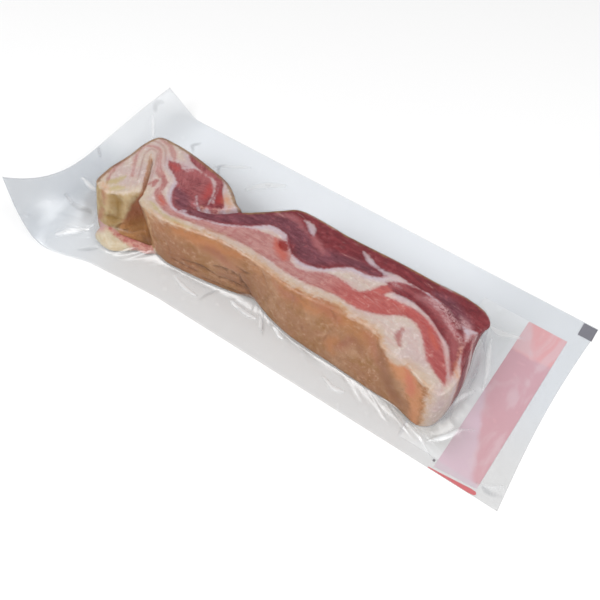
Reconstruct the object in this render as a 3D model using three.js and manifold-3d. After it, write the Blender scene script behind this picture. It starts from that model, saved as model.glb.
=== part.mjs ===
// A folded strip of pancetta, vacuum-packed in a clear flat pouch that lies on a table.
// Millimetres, +Z up. +X runs along the pouch to its printed end, +Y away from the rind side.
// The origin is the middle of the underside of the box that holds the whole pack.
import * as THREE from "three";
import Module from "manifold-3d";

const wasm = await Module();
wasm.setup();

// Driving dimensions of the pouch
const PRINTED_END = 166.5; // x of the two square corners of the printed end
const PRINTED_END_BOW = 3; // how far that end's edge curves inward at its middle
const FAR_EDGE = 71.5; // y of the straight sealed edge behind the meat
const NEAR_EDGE = -58.5; // y of the straight folded edge in front of the rind
const FLAT_LENGTH_END = -60; // x where the near edge leaves its straight line
const FILM = 1; // the two films of a margin together, kept thick enough for a sound solid

// Driving dimensions of the meat
const GAP = 0.3; // clearance between the meat and the film round it
const MEAT_FOOT = FILM + GAP;
const MEAT_TOP = 38;
const TOP_EDGE_ROUNDING = 1.5;
const FOOT_ROUNDING = 1.2;
const WALL_STEPS = 4; // columns of wall between two neighbouring points of the outline
const RELIEF_CELL = 4; // size of a cell of the cut top face

// The strip's outline seen from above, against the clock, as [top x, top y, foot x, foot y].
// Its walls lean: the rind side is about 10 mm further out at the foot than at the top.
const FAR_SIDE = [
  [117.5, 13.5, 112, 16],
  [112.5, 19.5, 109, 21.5],
  [100, 22.5, 100, 24],
  [75, 22, 75, 23.5],
  [25, 21.5, 25, 23.5],
  [-11, 21, -11, 22.5],
];
const NOTCH = [
  [-20, 15, -20, 16.5],
  [-28.5, 7.5, -28.5, 9],
  [-36.5, 1.5, -37, 2.5],
  [-42.5, 3, -42, 4],
  [-49.5, 8.5, -49, 10.5],
];
const FOLDED_BLOCK = [
  [-57.7, 13.5, -57, 15.5],
  [-72, 17, -72, 19],
  [-88.4, 19.7, -88, 21.5],
  [-104.5, 20.5, -104.5, 22.5],
  [-116, 19, -117, 20.5],
  [-120.3, 10.5, -122, 10.5],
  [-123, -5.5, -125, -5.5],
  [-125.3, -20.5, -127, -21.5],
  [-125, -29.5, -126, -36.5],
];
const TAIL_END = [
  [-119, -32, -121, -41.5],
  [-111.5, -31, -113, -42.5],
  [-103.7, -27, -105.5, -37],
  [-95.5, -22.5, -96, -25.5],
];
const RIND_SIDE = [
  [-93, -28, -88.5, -29.5],
  [-86.5, -29.5, -81, -34.5],
  [-73.5, -30.5, -72, -36.7],
  [-56, -27.5, -56, -36],
  [-37, -24, -38, -33.7],
  [-20, -24, -20, -30.4],
  [-9, -24.5, -10.5, -28.2],
  [-1, -25.5, -2, -30.8],
  [11.7, -27.5, 9.6, -34.3],
  [27, -27.5, 27, -37],
  [48, -24.3, 48, -37.8],
  [68, -23.3, 68, -39],
  [77, -29, 80, -39.5],
  [93, -30, 96, -40.3],
];
const CUT_END = [
  [105, -34, 109.9, -42.6],
  [115, -34.5, 117, -37],
  [118.2, -24, 119.9, -17.5],
  [115.8, -6.5, 118.5, -2.5],
  [114.5, 5, 116, 8],
];
const OUTLINE = [...FAR_SIDE, ...NOTCH, ...FOLDED_BLOCK, ...TAIL_END, ...RIND_SIDE, ...CUT_END];

// The lip of fat and lean that sticks out under the tail, as [x, y] of its foot.
const LIP = [
  [-104, -14],
  [-117, -22],
  [-121.5, -39],
  [-120.4, -46],
  [-113, -49.6],
  [-105.8, -50.1],
  [-99.4, -47.8],
  [-92.4, -41.6],
  [-84, -39],
  [-77, -32],
  [-88, -16],
];
const LIP_CORE = { west: -110, east: -92, y: -25 };
const LIP_HEIGHT = 11;

// The line where rind lies against rind in the hairpin fold, from its apex to its mouth.
const FOLD_LINE = [
  [-111.5, 5],
  [-107, 0.5],
  [-102, -7.5],
  [-97.5, -16],
  [-94.5, -24],
];
// The crevice where the folded block lies against the strip, from the notch inward.
const BLOCK_CREVICE = [
  [-34, 4],
  [-40, -1],
  [-47, -7],
  [-56, -11],
  [-66, -12.5],
];

// The raised left end of the pouch: near, middle and far points of cross-lines, [x, y, z].
const RAISED_END = [
  { near: [-60, -58.5, 0], middle: [-60, 6.5, 0], far: [-60, 71.5, 0] },
  { near: [-95, -61.3, 0], middle: [-95, 5, 0], far: [-95, 71.5, 0] },
  { near: [-112, -63.8, 1.5], middle: [-114, 4, 0], far: [-112, 71.5, 0] },
  { near: [-127.5, -68.9, 3], middle: [-129, 2, 0], far: [-126, 71.5, 0] },
  { near: [-139, -71.5, 3.8], middle: [-135, 1, 9], far: [-135, 71.5, 0.5] },
  { near: [-148.5, -71.3, 8], middle: [-142, 1, 14.5], far: [-141.5, 71.3, 6] },
  { near: [-156, -69.5, 23], middle: [-150, 2, 16.8], far: [-147, 70.5, 13] },
  { near: [-166.5, -63.6, 43.5], middle: [-159, 3, 17.5], far: [-153.7, 69.6, 21] },
];
const RAISED_END_ROWS = 24;
const SHEET_COLUMNS = 14;
const EDGE_CURL = 2.6; // how closely a cross-line keeps its middle height before its ends curl up

// The film's slope from the meat down to the flat margins: where it meets the margin, where it
// would meet the meat, and how high up the meat it starts, [outer x, outer y, inner x, inner y, z].
const FILM_SLOPE = [
  [128, 14, 112, 10, 20],
  [118, 32, 106, 17, 20],
  [75, 34, 75, 18, 20],
  [25, 34, 25, 18, 20],
  [-12, 33, -14, 15, 22],
  [-38, 22, -38, 0, 30],
  [-62, 28, -62, 10, 22],
  [-100, 34, -100, 16, 20],
  [-125, 30, -112, 12, 22],
  [-139, 2, -119, 2, 32],
  [-139, -26, -121, -24, 32],
  [-133, -48, -118, -32, 26],
  [-113, -57, -110, -40, 14],
  [-90, -52, -92, -34, 12],
  [-70, -45, -72, -30, 9],
  [-20, -39, -20, -26, 9],
  [40, -44, 40, -30, 9],
  [106, -50, 104, -36, 10],
  [126, -42, 112, -32, 14],
  [130, -12, 114, -12, 18],
];

const smooth = (x) => {
  const t = Math.min(1, Math.max(0, x));
  return t * t * (3 - 2 * t);
};
const mix = (a, b, t) => a + (b - a) * t;

// The open pocket between the tail and the strip, which the film must not fill, as [x, y].
const POCKET = [
  [-118, -36],
  [-112, -45],
  [-104, -46],
  [-92, -39],
  [-84, -34.5],
  [-90, -22],
  [-102, -22],
];

// Turns rings of points, lowest first and each against the clock, into one closed mesh.
function loft(rings) {
  const count = rings[0].length;
  const positions = rings.flat().flatMap((p) => [p.x, p.y, p.z]);
  const triangles = [];
  for (let ring = 0; ring + 1 < rings.length; ring++) {
    for (let i = 0; i < count; i++) {
      const a = ring * count + i;
      const b = ring * count + ((i + 1) % count);
      triangles.push(a, b, b + count, a, b + count, a + count);
    }
  }
  const cap = (ring) =>
    THREE.ShapeUtils.triangulateShape(
      rings[ring].map((p) => new THREE.Vector2(p.x, p.y)),
      [],
    );
  const top = (rings.length - 1) * count;
  cap(0).forEach(([a, b, c]) => triangles.push(a, c, b));
  cap(rings.length - 1).forEach(([a, b, c]) => triangles.push(top + a, top + b, top + c));
  return solid(positions, triangles);
}

// Turns a grid of points, rows by columns, and its copy one thickness lower into one closed mesh.
function sheet(rows, columns, upper, lower) {
  const positions = [];
  for (const surface of [lower, upper]) {
    for (let row = 0; row <= rows; row++) {
      for (let column = 0; column <= columns; column++) {
        positions.push(...surface(row, column));
      }
    }
  }
  const half = (rows + 1) * (columns + 1);
  const at = (row, column) => row * (columns + 1) + column;
  const triangles = [];
  for (let row = 0; row < rows; row++) {
    for (let column = 0; column < columns; column++) {
      const [a, b] = [at(row, column), at(row, column + 1)];
      const [c, d] = [at(row + 1, column + 1), at(row + 1, column)];
      triangles.push(half + a, half + b, half + c, half + a, half + c, half + d);
      triangles.push(a, c, b, a, d, c);
    }
  }
  const rim = [];
  for (let column = 0; column < columns; column++) rim.push(at(0, column));
  for (let row = 0; row < rows; row++) rim.push(at(row, columns));
  for (let column = columns; column > 0; column--) rim.push(at(rows, column));
  for (let row = rows; row > 0; row--) rim.push(at(row, 0));
  rim.forEach((a, i) => {
    const b = rim[(i + 1) % rim.length];
    triangles.push(a, b, half + b, a, half + b, half + a);
  });
  return solid(positions, triangles);
}

function solid(positions, triangles) {
  const mesh = new wasm.Mesh({
    numProp: 3,
    vertProperties: new Float32Array(positions),
    triVerts: new Uint32Array(triangles),
  });
  return new wasm.Manifold(mesh);
}

// A smooth closed curve through plan points, sampled evenly between each pair.
function closedCurve(points, steps) {
  const curve = new THREE.CatmullRomCurve3(
    points.map(([x, y]) => new THREE.Vector3(x, y, 0)),
    true,
    "centripetal",
  );
  const count = points.length * steps;
  return Array.from({ length: count }, (_, i) => curve.getPoint(i / count));
}

// A ring moved outward by a distance, square to itself.
function offsetRing(ring, distance) {
  return ring.map((p, i) => {
    const before = ring[(i + ring.length - 1) % ring.length];
    const after = ring[(i + 1) % ring.length];
    const along = after.clone().sub(before).normalize();
    return new THREE.Vector3(p.x + along.y * distance, p.y - along.x * distance, p.z);
  });
}

// The strip's wall at a share of its height: the lower half stands steep, the upper half leans in.
function meatRing(share, clearance) {
  const tops = closedCurve(OUTLINE.map((row) => [row[0], row[1]]), WALL_STEPS);
  const feet = closedCurve(OUTLINE.map((row) => [row[2], row[3]]), WALL_STEPS);
  const lean = Math.pow(share, 1.6);
  const height = mix(MEAT_FOOT, MEAT_TOP, share);
  const ring = feet.map((foot, i) => {
    const top = tops[i];
    return new THREE.Vector3(mix(foot.x, top.x, lean), mix(foot.y, top.y, lean), height);
  });
  const nearTop = Math.min(1, Math.max(0, share - 0.9) / 0.1);
  const nearFoot = Math.max(0, 0.06 - share) / 0.06;
  const inset = TOP_EDGE_ROUNDING * nearTop * nearTop + FOOT_ROUNDING * nearFoot;
  return offsetRing(ring, clearance - inset);
}

// Height of the cut top face: it droops over the near corner of the cut end and dips at the folds.
function topHeight(x, y) {
  const endDroop = 4.5 * smooth((x - 62) / 40) * smooth((6 - y) / 36);
  const tailDroop = 2.5 * smooth((-98 - x) / 16) * smooth((-12 - y) / 16);
  const waves = 0.35 * Math.sin(x / 9 + y / 14) + 0.3 * Math.sin(y / 5 - x / 23);
  return MEAT_TOP - endDroop - tailDroop + waves;
}

function meatWalls(clearance) {
  const shares = [0, 0.06, 0.3, 0.55, 0.78, 0.9, 0.95, 1, 1.08];
  const rings = shares.map((share) => meatRing(share, clearance));
  rings[0].forEach((p) => {
    p.z -= clearance;
  });
  return loft(rings);
}

// The lip is a low cushion: its rings draw in towards a line under the tail as they rise.
function meatLip(clearance) {
  const foot = closedCurve(LIP, WALL_STEPS);
  const levels = [
    [0, 0.03],
    [0.25, -0.03],
    [0.55, 0.06],
    [0.8, 0.2],
    [0.95, 0.38],
    [1, 0.55],
  ];
  const rings = levels.map(([share, inward]) => {
    const z = MEAT_FOOT + LIP_HEIGHT * share + (share > 0 ? clearance : -clearance);
    return offsetRing(foot, clearance).map((p) => {
      const coreX = Math.min(LIP_CORE.east, Math.max(LIP_CORE.west, p.x));
      return new THREE.Vector3(mix(p.x, coreX, inward), mix(p.y, LIP_CORE.y, inward), z);
    });
  });
  return loft(rings);
}

// Everything under the cut top face, a block that the walls are cut against.
function underTopFace() {
  const [west, east, south, north] = [-136, 128, -60, 32];
  const rows = Math.round((north - south) / RELIEF_CELL);
  const columns = Math.round((east - west) / RELIEF_CELL);
  const plan = (row, column) => [west + column * RELIEF_CELL, south + row * RELIEF_CELL];
  return sheet(
    rows,
    columns,
    (row, column) => {
      const [x, y] = plan(row, column);
      return [x, y, topHeight(x, y)];
    },
    (row, column) => [...plan(row, column), -5],
  );
}

// A V-shaped groove cut along a plan line into the top face, tapering out at its two ends.
function groove(line, width, depth) {
  const curve = new THREE.CatmullRomCurve3(line.map(([x, y]) => new THREE.Vector3(x, y, 0)));
  const rows = 12;
  const rings = [];
  for (let row = 0; row <= rows; row++) {
    const t = row / rows;
    const p = curve.getPoint(t);
    const along = curve.getTangent(t);
    const side = new THREE.Vector3(along.y, -along.x, 0);
    const half = (width / 2) * (0.4 + 0.6 * Math.sin(Math.PI * Math.min(1, t + 0.3)));
    rings.push([
      [p.x + side.x * half, p.y + side.y * half, MEAT_TOP + 3],
      [p.x - side.x * half, p.y - side.y * half, MEAT_TOP + 3],
      [p.x, p.y, MEAT_TOP - depth],
    ]);
  }
  const positions = rings.flat(2);
  const triangles = [0, 1, 2, rows * 3, rows * 3 + 2, rows * 3 + 1];
  for (let row = 0; row < rows; row++) {
    for (let i = 0; i < 3; i++) {
      const a = row * 3 + i;
      const b = row * 3 + ((i + 1) % 3);
      triangles.push(a, b + 3, b, a, a + 3, b + 3);
    }
  }
  return solid(positions, triangles);
}

function pancetta() {
  return meatWalls(0)
    .add(meatLip(0))
    .intersect(underTopFace())
    .subtract(groove(FOLD_LINE, 2.4, 6))
    .subtract(groove(BLOCK_CREVICE, 2.6, 5));
}

// A point of the pouch's underside: row along it from the printed end, share across it.
function flatPoint(share, across) {
  const bow = PRINTED_END_BOW * Math.sin(Math.PI * across) * (1 - share);
  const x = mix(PRINTED_END - bow, FLAT_LENGTH_END, share);
  return [x, mix(NEAR_EDGE, FAR_EDGE, across), 0];
}

function raisedPoint(share, across) {
  const rail = (key) =>
    new THREE.CatmullRomCurve3(
      RAISED_END.map((line) => new THREE.Vector3(...line[key])),
    ).getPoint(share);
  const [near, middle, far] = [rail("near"), rail("middle"), rail("far")];
  const v = across * 2 - 1;
  const nearShare = Math.pow(Math.max(0, -v), EDGE_CURL);
  const farShare = Math.pow(Math.max(0, v), EDGE_CURL);
  const blend = (key) =>
    middle[key] + (near[key] - middle[key]) * nearShare + (far[key] - middle[key]) * farShare;
  return [blend("x"), mix(near.y, far.y, across), Math.max(0, blend("z"))];
}

function pouchSheet() {
  const lower = (row, column) => {
    const across = column / SHEET_COLUMNS;
    if (row < 2) return flatPoint(row / 2, across);
    return raisedPoint((row - 2) / RAISED_END_ROWS, across);
  };
  const upper = (row, column) => {
    const [x, y, z] = lower(row, column);
    return [x, y, z + FILM];
  };
  return sheet(RAISED_END_ROWS + 2, SHEET_COLUMNS, upper, lower);
}

// The mound that the film makes round the meat; the meat is cut out of it with its clearance.
function filmSlope() {
  const outer = closedCurve(FILM_SLOPE.map((row) => [row[0], row[1]]), WALL_STEPS);
  const inner = closedCurve(FILM_SLOPE.map((row) => [row[2], row[3]]), WALL_STEPS);
  const starts = closedCurve(FILM_SLOPE.map((row) => [row[4], 0]), WALL_STEPS);
  const levels = [0, 0.001, 0.25, 0.45, 0.62, 0.78, 0.92, 1];
  const rings = levels.map((inward, level) =>
    outer.map((p, i) => {
      const rise = starts[i].x * Math.pow(inward, 2.2);
      const z = level === 0 ? FILM / 2 : FILM * 0.9 + rise;
      return new THREE.Vector3(mix(p.x, inner[i].x, inward), mix(p.y, inner[i].y, inward), z);
    }),
  );
  return loft(rings);
}

function pocketSpace() {
  const at = (z) => POCKET.map(([x, y]) => new THREE.Vector3(x, y, z));
  return loft([at(FILM), at(MEAT_TOP)]);
}

// The cuts leave loose crumbs of film behind, so the pouch is the largest piece.
function pouch() {
  const pieces = pouchSheet()
    .add(filmSlope())
    .subtract(meatWalls(GAP))
    .subtract(meatLip(GAP))
    .subtract(pocketSpace())
    .decompose();
  return pieces.reduce((best, piece) => (piece.volume() > best.volume() ? piece : best));
}

function mesh(name, made, material) {
  const { vertProperties, triVerts } = made.getMesh();
  const geometry = new THREE.BufferGeometry();
  geometry.setAttribute("position", new THREE.BufferAttribute(vertProperties, 3));
  geometry.setIndex(new THREE.BufferAttribute(triVerts, 1));
  geometry.computeVertexNormals();
  const piece = new THREE.Mesh(geometry, material);
  piece.name = name;
  return piece;
}

const meat = new THREE.MeshStandardMaterial({ color: 0xb8706a, roughness: 0.35, metalness: 0 });
const film = new THREE.MeshStandardMaterial({
  color: 0xdde3e8,
  roughness: 0.15,
  metalness: 0,
  transparent: true,
  opacity: 0.4,
});

const pack = new THREE.Group();
pack.add(mesh("pancetta", pancetta(), meat));
pack.add(mesh("pouch", pouch(), film));
const box = new THREE.Box3().setFromObject(pack);
const middle = box.getCenter(new THREE.Vector3());
pack.position.set(-middle.x, -middle.y, -box.min.z);

export default pack;
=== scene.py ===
"""Looks of a folded strip of pancetta, vacuum-packed in a clear pouch with a printed end.

Plan positions and heights are in millimetres in the part's frame and turn into metres in make_mesh.
"""

import bpy
import numpy as np
from mathutils import Matrix, Vector, noise
from mathutils.bvhtree import BVHTree
from mathutils.kdtree import KDTree


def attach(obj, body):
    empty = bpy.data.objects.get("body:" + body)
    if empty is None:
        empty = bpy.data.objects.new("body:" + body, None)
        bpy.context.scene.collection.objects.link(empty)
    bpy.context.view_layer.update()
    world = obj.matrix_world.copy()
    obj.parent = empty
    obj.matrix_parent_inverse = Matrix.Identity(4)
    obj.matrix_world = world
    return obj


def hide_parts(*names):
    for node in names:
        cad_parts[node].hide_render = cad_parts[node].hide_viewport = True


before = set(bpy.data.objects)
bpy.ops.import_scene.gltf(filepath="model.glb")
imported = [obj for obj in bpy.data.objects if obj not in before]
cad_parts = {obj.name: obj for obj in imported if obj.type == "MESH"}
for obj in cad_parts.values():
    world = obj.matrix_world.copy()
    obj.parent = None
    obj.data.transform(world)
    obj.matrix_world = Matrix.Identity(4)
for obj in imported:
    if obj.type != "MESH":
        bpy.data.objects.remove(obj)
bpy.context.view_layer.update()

MM = 0.001

# Driving dimensions, as in the part's source
PRINTED_END = 166.5
PRINTED_END_BOW = 3.0
FAR_EDGE = 71.5
NEAR_EDGE = -58.5
FLAT_LENGTH_END = -60.0
EDGE_CURL = 2.6
MEAT_FOOT = 0.7
MEAT_TOP = 38.0
WALL_LEAN = 1.6  # above 1, the foot of the wall stands steeper than its top
TOP_EDGE_ROUNDING = 1.7
TAIL_EDGE_ROUNDING = 4.4
FOOT_ROUNDING = 1.2
LIP_HEIGHT = 11.0

# The strip's outline seen from above, against the clock: [top x, top y, foot x, foot y]
FAR_SIDE = [
    [117.5, 13.5, 112, 16],
    [112.5, 19.5, 109, 21.5],
    [100, 22.5, 100, 24],
    [75, 22, 75, 23.5],
    [25, 21.5, 25, 23.5],
    [-11, 21, -11, 22.5],
]
NOTCH = [
    [-20, 15, -20, 16.5],
    [-28.5, 7.5, -28.5, 9],
    [-36.5, 1.5, -37, 2.5],
    [-42.5, 3, -42, 4],
    [-49.5, 8.5, -49, 10.5],
]
FOLDED_BLOCK = [
    [-57.7, 13.5, -57, 15.5],
    [-72, 17, -72, 19],
    [-88.4, 19.7, -88, 21.5],
    [-104.5, 20.5, -104.5, 22.5],
    [-116, 19, -117, 20.5],
    [-120.3, 10.5, -122, 10.5],
    [-123, -5.5, -125, -5.5],
    [-125.3, -20.5, -127, -21.5],
    [-125, -29.5, -126, -36.5],
]
TAIL_END = [
    [-119, -32, -121, -41.5],
    [-111.5, -31, -113, -42.5],
    [-103.7, -27, -105.5, -37],
    [-95.5, -22.5, -96, -25.5],
]
RIND_SIDE = [
    [-93, -28, -88.5, -29.5],
    [-86.5, -29.5, -81, -34.5],
    [-73.5, -30.5, -72, -36.7],
    [-56, -27.5, -56, -36],
    [-37, -24, -38, -33.7],
    [-20, -24, -20, -30.4],
    [-9, -24.5, -10.5, -28.2],
    [-1, -25.5, -2, -30.8],
    [11.7, -27.5, 9.6, -34.3],
    [27, -27.5, 27, -37],
    [48, -24.3, 48, -37.8],
    [68, -23.3, 68, -39],
    [77, -29, 80, -39.5],
    [93, -30, 96, -40.3],
]
CUT_END = [
    [105, -34, 109.9, -42.6],
    [115, -34.5, 117, -37],
    [118.2, -24, 119.9, -17.5],
    [115.8, -6.5, 118.5, -2.5],
    [114.5, 5, 116, 8],
]
OUTLINE = FAR_SIDE + NOTCH + FOLDED_BLOCK + TAIL_END + RIND_SIDE + CUT_END
NOTCH_ROW = len(FAR_SIDE)
BLOCK_ROW = NOTCH_ROW + len(NOTCH)
TAIL_ROW = BLOCK_ROW + len(FOLDED_BLOCK)
RIND_ROW = TAIL_ROW + len(TAIL_END)
CUT_ROW = RIND_ROW + len(RIND_SIDE)
STEPS = 16  # points of a ring between two rows of the outline

# The low lip of fat and lean that sticks out under the tail: [x, y] of its foot
LIP = [
    [-104, -14],
    [-117, -22],
    [-121.5, -39],
    [-120.4, -46],
    [-113, -49.6],
    [-105.8, -50.1],
    [-99.4, -47.8],
    [-92.4, -41.6],
    [-84, -39],
    [-77, -32],
    [-88, -16],
]
LIP_CORE_X = (-110, -92)
LIP_CORE_Y = -25

# Lines of the top face: rind against rind in the hairpin, and the block against the strip
FOLD_LINE = [[-111.5, 5], [-107, 0.5], [-102, -7.5], [-97.5, -16], [-94.5, -24]]
BLOCK_CREVICE = [[-34, 4], [-40, -1], [-47, -7], [-56, -11], [-66, -12.5]]
TAIL_CREASE = [[-112.4, -29.6], [-110, -28], [-107, -25.6], [-103, -23.4]]
# The meat's grain runs along this line, and the film is drawn from the middle line outwards
GRAIN_LINE = [[105, -34], [75, -29], [48, -25], [11, -27], [-20, -24], [-56, -27.5], [-93, -28]]
GRAIN_LINE += FOLD_LINE[::-1]
MIDDLE_LINE = [[-104, -3], [-60, -8], [-37, -13], [0, -4], [60, -1], [104, -8]]

# The raised left end of the pouch: near, middle and far points of cross-lines
RAISED_NEAR = [
    [-60, -58.5, 0],
    [-95, -61.3, 0],
    [-112, -63.8, 1.5],
    [-127.5, -68.9, 3],
    [-139, -71.5, 3.8],
    [-148.5, -71.3, 8],
    [-156, -69.5, 23],
    [-166.5, -63.6, 43.5],
]
RAISED_MIDDLE = [
    [-60, 6.5, 0],
    [-95, 5, 0],
    [-114, 4, 0],
    [-129, 2, 0],
    [-135, 1, 9],
    [-142, 1, 14.5],
    [-150, 2, 16.8],
    [-159, 3, 17.5],
]
RAISED_FAR = [
    [-60, 71.5, 0],
    [-95, 71.5, 0],
    [-112, 71.5, 0],
    [-126, 71.5, 0],
    [-135, 71.5, 0.5],
    [-141.5, 71.3, 6],
    [-147, 70.5, 13],
    [-153.7, 69.6, 21],
]

# The film's slope from the meat to the margins: [outer x, outer y, inner x, inner y, start height]
FILM_SLOPE = [
    [128, 14, 112, 10, 20],
    [118, 32, 106, 17, 20],
    [75, 34, 75, 18, 20],
    [25, 34, 25, 18, 20],
    [-12, 33, -14, 15, 22],
    [-38, 22, -38, 0, 30],
    [-62, 28, -62, 10, 22],
    [-100, 34, -100, 16, 20],
    [-125, 30, -112, 12, 22],
    [-139, 2, -119, 2, 32],
    [-139, -26, -121, -24, 32],
    [-133, -48, -118, -32, 26],
    [-113, -57, -110, -40, 14],
    [-90, -52, -92, -34, 12],
    [-70, -45, -72, -30, 9],
    [-20, -39, -20, -26, 9],
    [40, -44, 40, -30, 9],
    [106, -50, 104, -36, 10],
    [126, -42, 112, -32, 14],
    [130, -12, 114, -12, 18],
]

# Bands of the belly on the cut face, each a line of [x, y, half width]; what they leave is fat
PINK_BANDS = [
    # from the hairpin along the strip to the near corner of the cut end
    [[-113, 10.4, 0.5], [-108.5, 10.2, 0.9], [-105.3, 6.6, 1.1], [-102.6, 2.4, 1.2], [-99.6, -1, 1.4],
     [-95.6, -4.4, 2], [-91.2, -6.2, 1.4], [-88.3, -9, 1.5], [-87.4, -12.6, 1.4], [-87.8, -15.8, 1.6],
     [-84, -18.8, 2.2], [-78.5, -21.6, 2.2], [-71.5, -23.6, 1.8], [-64, -22.6, 1.3], [-56, -20.8, 1.4],
     [-50, -19, 2.4], [-44, -18.6, 2.6], [-38, -16.8, 3], [-31, -14.6, 4.4], [-25, -12.8, 5.6],
     [-18, -11.4, 6.5], [-11, -10.8, 7.4], [-4, -11, 7.4], [0, -13.2, 5.6], [3, -15.2, 4.2],
     [7, -16.6, 3.4], [11, -17.6, 2.7], [16, -17.2, 3.1], [21, -16.2, 4], [27, -14, 5.2], [33, -12.4, 5.7],
     [40, -12.2, 5], [46, -12.8, 4.8], [52, -12, 5.6], [57, -9.6, 7], [62, -8.8, 6.4], [68, -6.8, 5.2],
     [74, -4.8, 3.6], [80, -3.8, 3.2], [86, -4.7, 3.6], [92, -7.6, 4.2], [97, -11.5, 4.9],
     [102, -16.1, 5.7], [106, -19.3, 5.1], [110, -23, 3.8], [114.5, -28, 0.8]],
    # thin layers round the hairpin
    [[-108.5, -15.4, 0.9], [-110.6, -12, 0.4], [-113.6, -7.5, 0.7], [-116.2, -3.5, 0.7], [-118.4, 1, 0.5],
     [-118.6, 5, 0.4], [-117, 8.4, 0.4], [-113, 10.4, 0.5]],
    [[-94, -10.6, 1], [-93.2, -12.6, 1.1], [-92.4, -14.6, 0.6]],
    [[54, -6, 1.6], [57.6, -2, 3], [60, 2, 2.8], [64, 5, 1.8], [69, 6, 0.8]],
    # pink streaks in the pale part of the block
    [[-113, 17.2, 0.5], [-107, 16.8, 1.1], [-102.4, 14.6, 1.5], [-98.6, 11.8, 1.4], [-96, 9.2, 0.7]],
    [[-121.4, -7, 0.4], [-122, -13, 1.3], [-122.8, -20, 0.9], [-124, -26, 0.4]],
]
LEAN_BANDS = [
    # the broad dark muscle of the strip, out to its far edge
    [[-67, -18.8, 0.9], [-62, -16.6, 2.2], [-56, -14.4, 3.2], [-50, -12.6, 3.4], [-44, -10.4, 3.8],
     [-38, -6.4, 5.2], [-32, -2, 6], [-27, 2.6, 6.6], [-22, 7, 6.8], [-16, 10.4, 8.4], [-9, 11.4, 9.5],
     [-2, 10.8, 10.4], [2, 9.6, 11.6], [6, 7.8, 13.4], [11, 5.4, 15], [16, 5.8, 14.6], [21, 8.4, 13.4],
     [27, 10.4, 11.2], [33, 12.6, 9.6], [40, 12.8, 9], [47, 13, 8.4], [52, 14.4, 7], [58, 17, 4.6],
     [66, 17, 4.7], [74, 16.8, 4.8], [82, 17, 4.6], [88, 16.4, 5], [94, 15, 6], [100, 13, 7],
     [105, 11.6, 7], [110, 11, 5.8], [115, 9, 4], [117, 5, 3], [116, 1, 1.5]],
    [[92, 18, 4], [102, 17, 5], [109, 15.4, 4.6], [114, 12.4, 4], [117, 8, 2.6]],
    # the red muscle that curves down over the cut end
    [[59, 6, 1.2], [63, 6.4, 3], [67.6, 6.4, 4.6], [73, 7, 5.2], [79, 7, 5.2], [85, 6, 5.4],
     [91, 4.4, 5.9], [97, 1.8, 6.4], [103, -1.8, 6.6], [107.4, -6.6, 4.8], [110, -12, 3],
     [112.4, -17, 1.7], [114, -21.4, 0.6]],
    [[113, 2, 1.6], [113.6, -4, 2.6], [116, -10, 3], [118.6, -16, 2.4], [120.4, -22, 1]],
    # the muscle of the folded block, in three lobes, and the strip of it along the far edge
    [[-97.6, 6.4, 0.9], [-92.5, 5, 3.4], [-86, 4.2, 5], [-79, 2.8, 7.6], [-72, 1.2, 9.9], [-67, 1, 9.6]],
    [[-72.4, 0, 9.4], [-73, -6, 8.8], [-72, -12, 6.6], [-70.6, -17, 3], [-68.6, -19, 1.2]],
    [[-70, -13.6, 4.6], [-64.4, -14.6, 3.8], [-59, -13.6, 2.4]],
    [[-83, 8.4, 1.4], [-77, 10.4, 2.4], [-71, 10.6, 2.6], [-66, 9.4, 1.8]],
    [[-66, 3, 6.4], [-63, -2, 6.2], [-61, -7, 5], [-59.6, -10.6, 2.8]],
    [[-57.4, -6.4, 2.2], [-53, -7, 2.6], [-48, -6, 1.8]],
    [[-90.4, 17.4, 0.8], [-86, 16, 2.2], [-80, 14.8, 3.1], [-74, 13.9, 3.2], [-68, 12.9, 3],
     [-63, 11, 2.6], [-59.4, 8.4, 2.1], [-57, 4.6, 1.9], [-54.4, 0.4, 2.7], [-51.4, -3.2, 3],
     [-47.6, -5.2, 1.4]],
]
FAT_STREAKS = [
    [[-4, 16, 0.4], [0, 15.2, 1.3], [3, 13.4, 2.2], [5.4, 11.4, 1.4], [7, 9.6, 0.4]],
    [[36.4, 16.4, 0.3], [39.6, 15, 1.1], [43, 13, 1.6], [47, 11.6, 0.8], [52, 11, 0.9], [57, 10.8, 1.7],
     [61.5, 11.2, 1.5], [66, 12.2, 0.5]],
    # the pale line between the pink band and the red muscle
    [[62, -1.4, 0.3], [66, 0.2, 1], [70, 1.6, 1.4], [76, 1.8, 1.2], [82, 0.4, 0.7], [87, -1.4, 0.6],
     [92, -3.4, 0.5], [97, -5.8, 0.6], [101, -8, 1.1], [105, -11.6, 1.3], [108.4, -16.4, 0.9],
     [111.4, -20.8, 0.7], [113.8, -25, 1.2], [116, -29, 1.4]],
    # in the block
    [[-101, 17.6, 1], [-95.6, 14.8, 1.7], [-90.4, 13.2, 1.4], [-84, 12, 0.8], [-78, 11.4, 0.3],
     [-72, 11, 0.2], [-66.4, 9.8, 0.5], [-62.4, 6.4, 0.6], [-59.6, 1.4, 0.5], [-57.8, -3.4, 0.5],
     [-57, -6.6, 0.3]],
    [[-90, 8.8, 0.3], [-87.2, 7.6, 0.9], [-84.8, 9.6, 1]],
    [[-66.6, -5.6, 0.2], [-63.4, -9.4, 0.4], [-59.8, -11.8, 0.6], [-56.2, -10.4, 0.3]],
    [[-66.6, -18.6, 0.4], [-65.2, -18.2, 0.8]],
    [[-58.4, 11.4, 0.6], [-55.6, 8.4, 1.9], [-52.4, 5, 1.7], [-49.4, 1.8, 1.1]],
    [[-49, -6.8, 0.3], [-46, -5.2, 0.7], [-43.8, -2, 0.6]],
]
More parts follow.
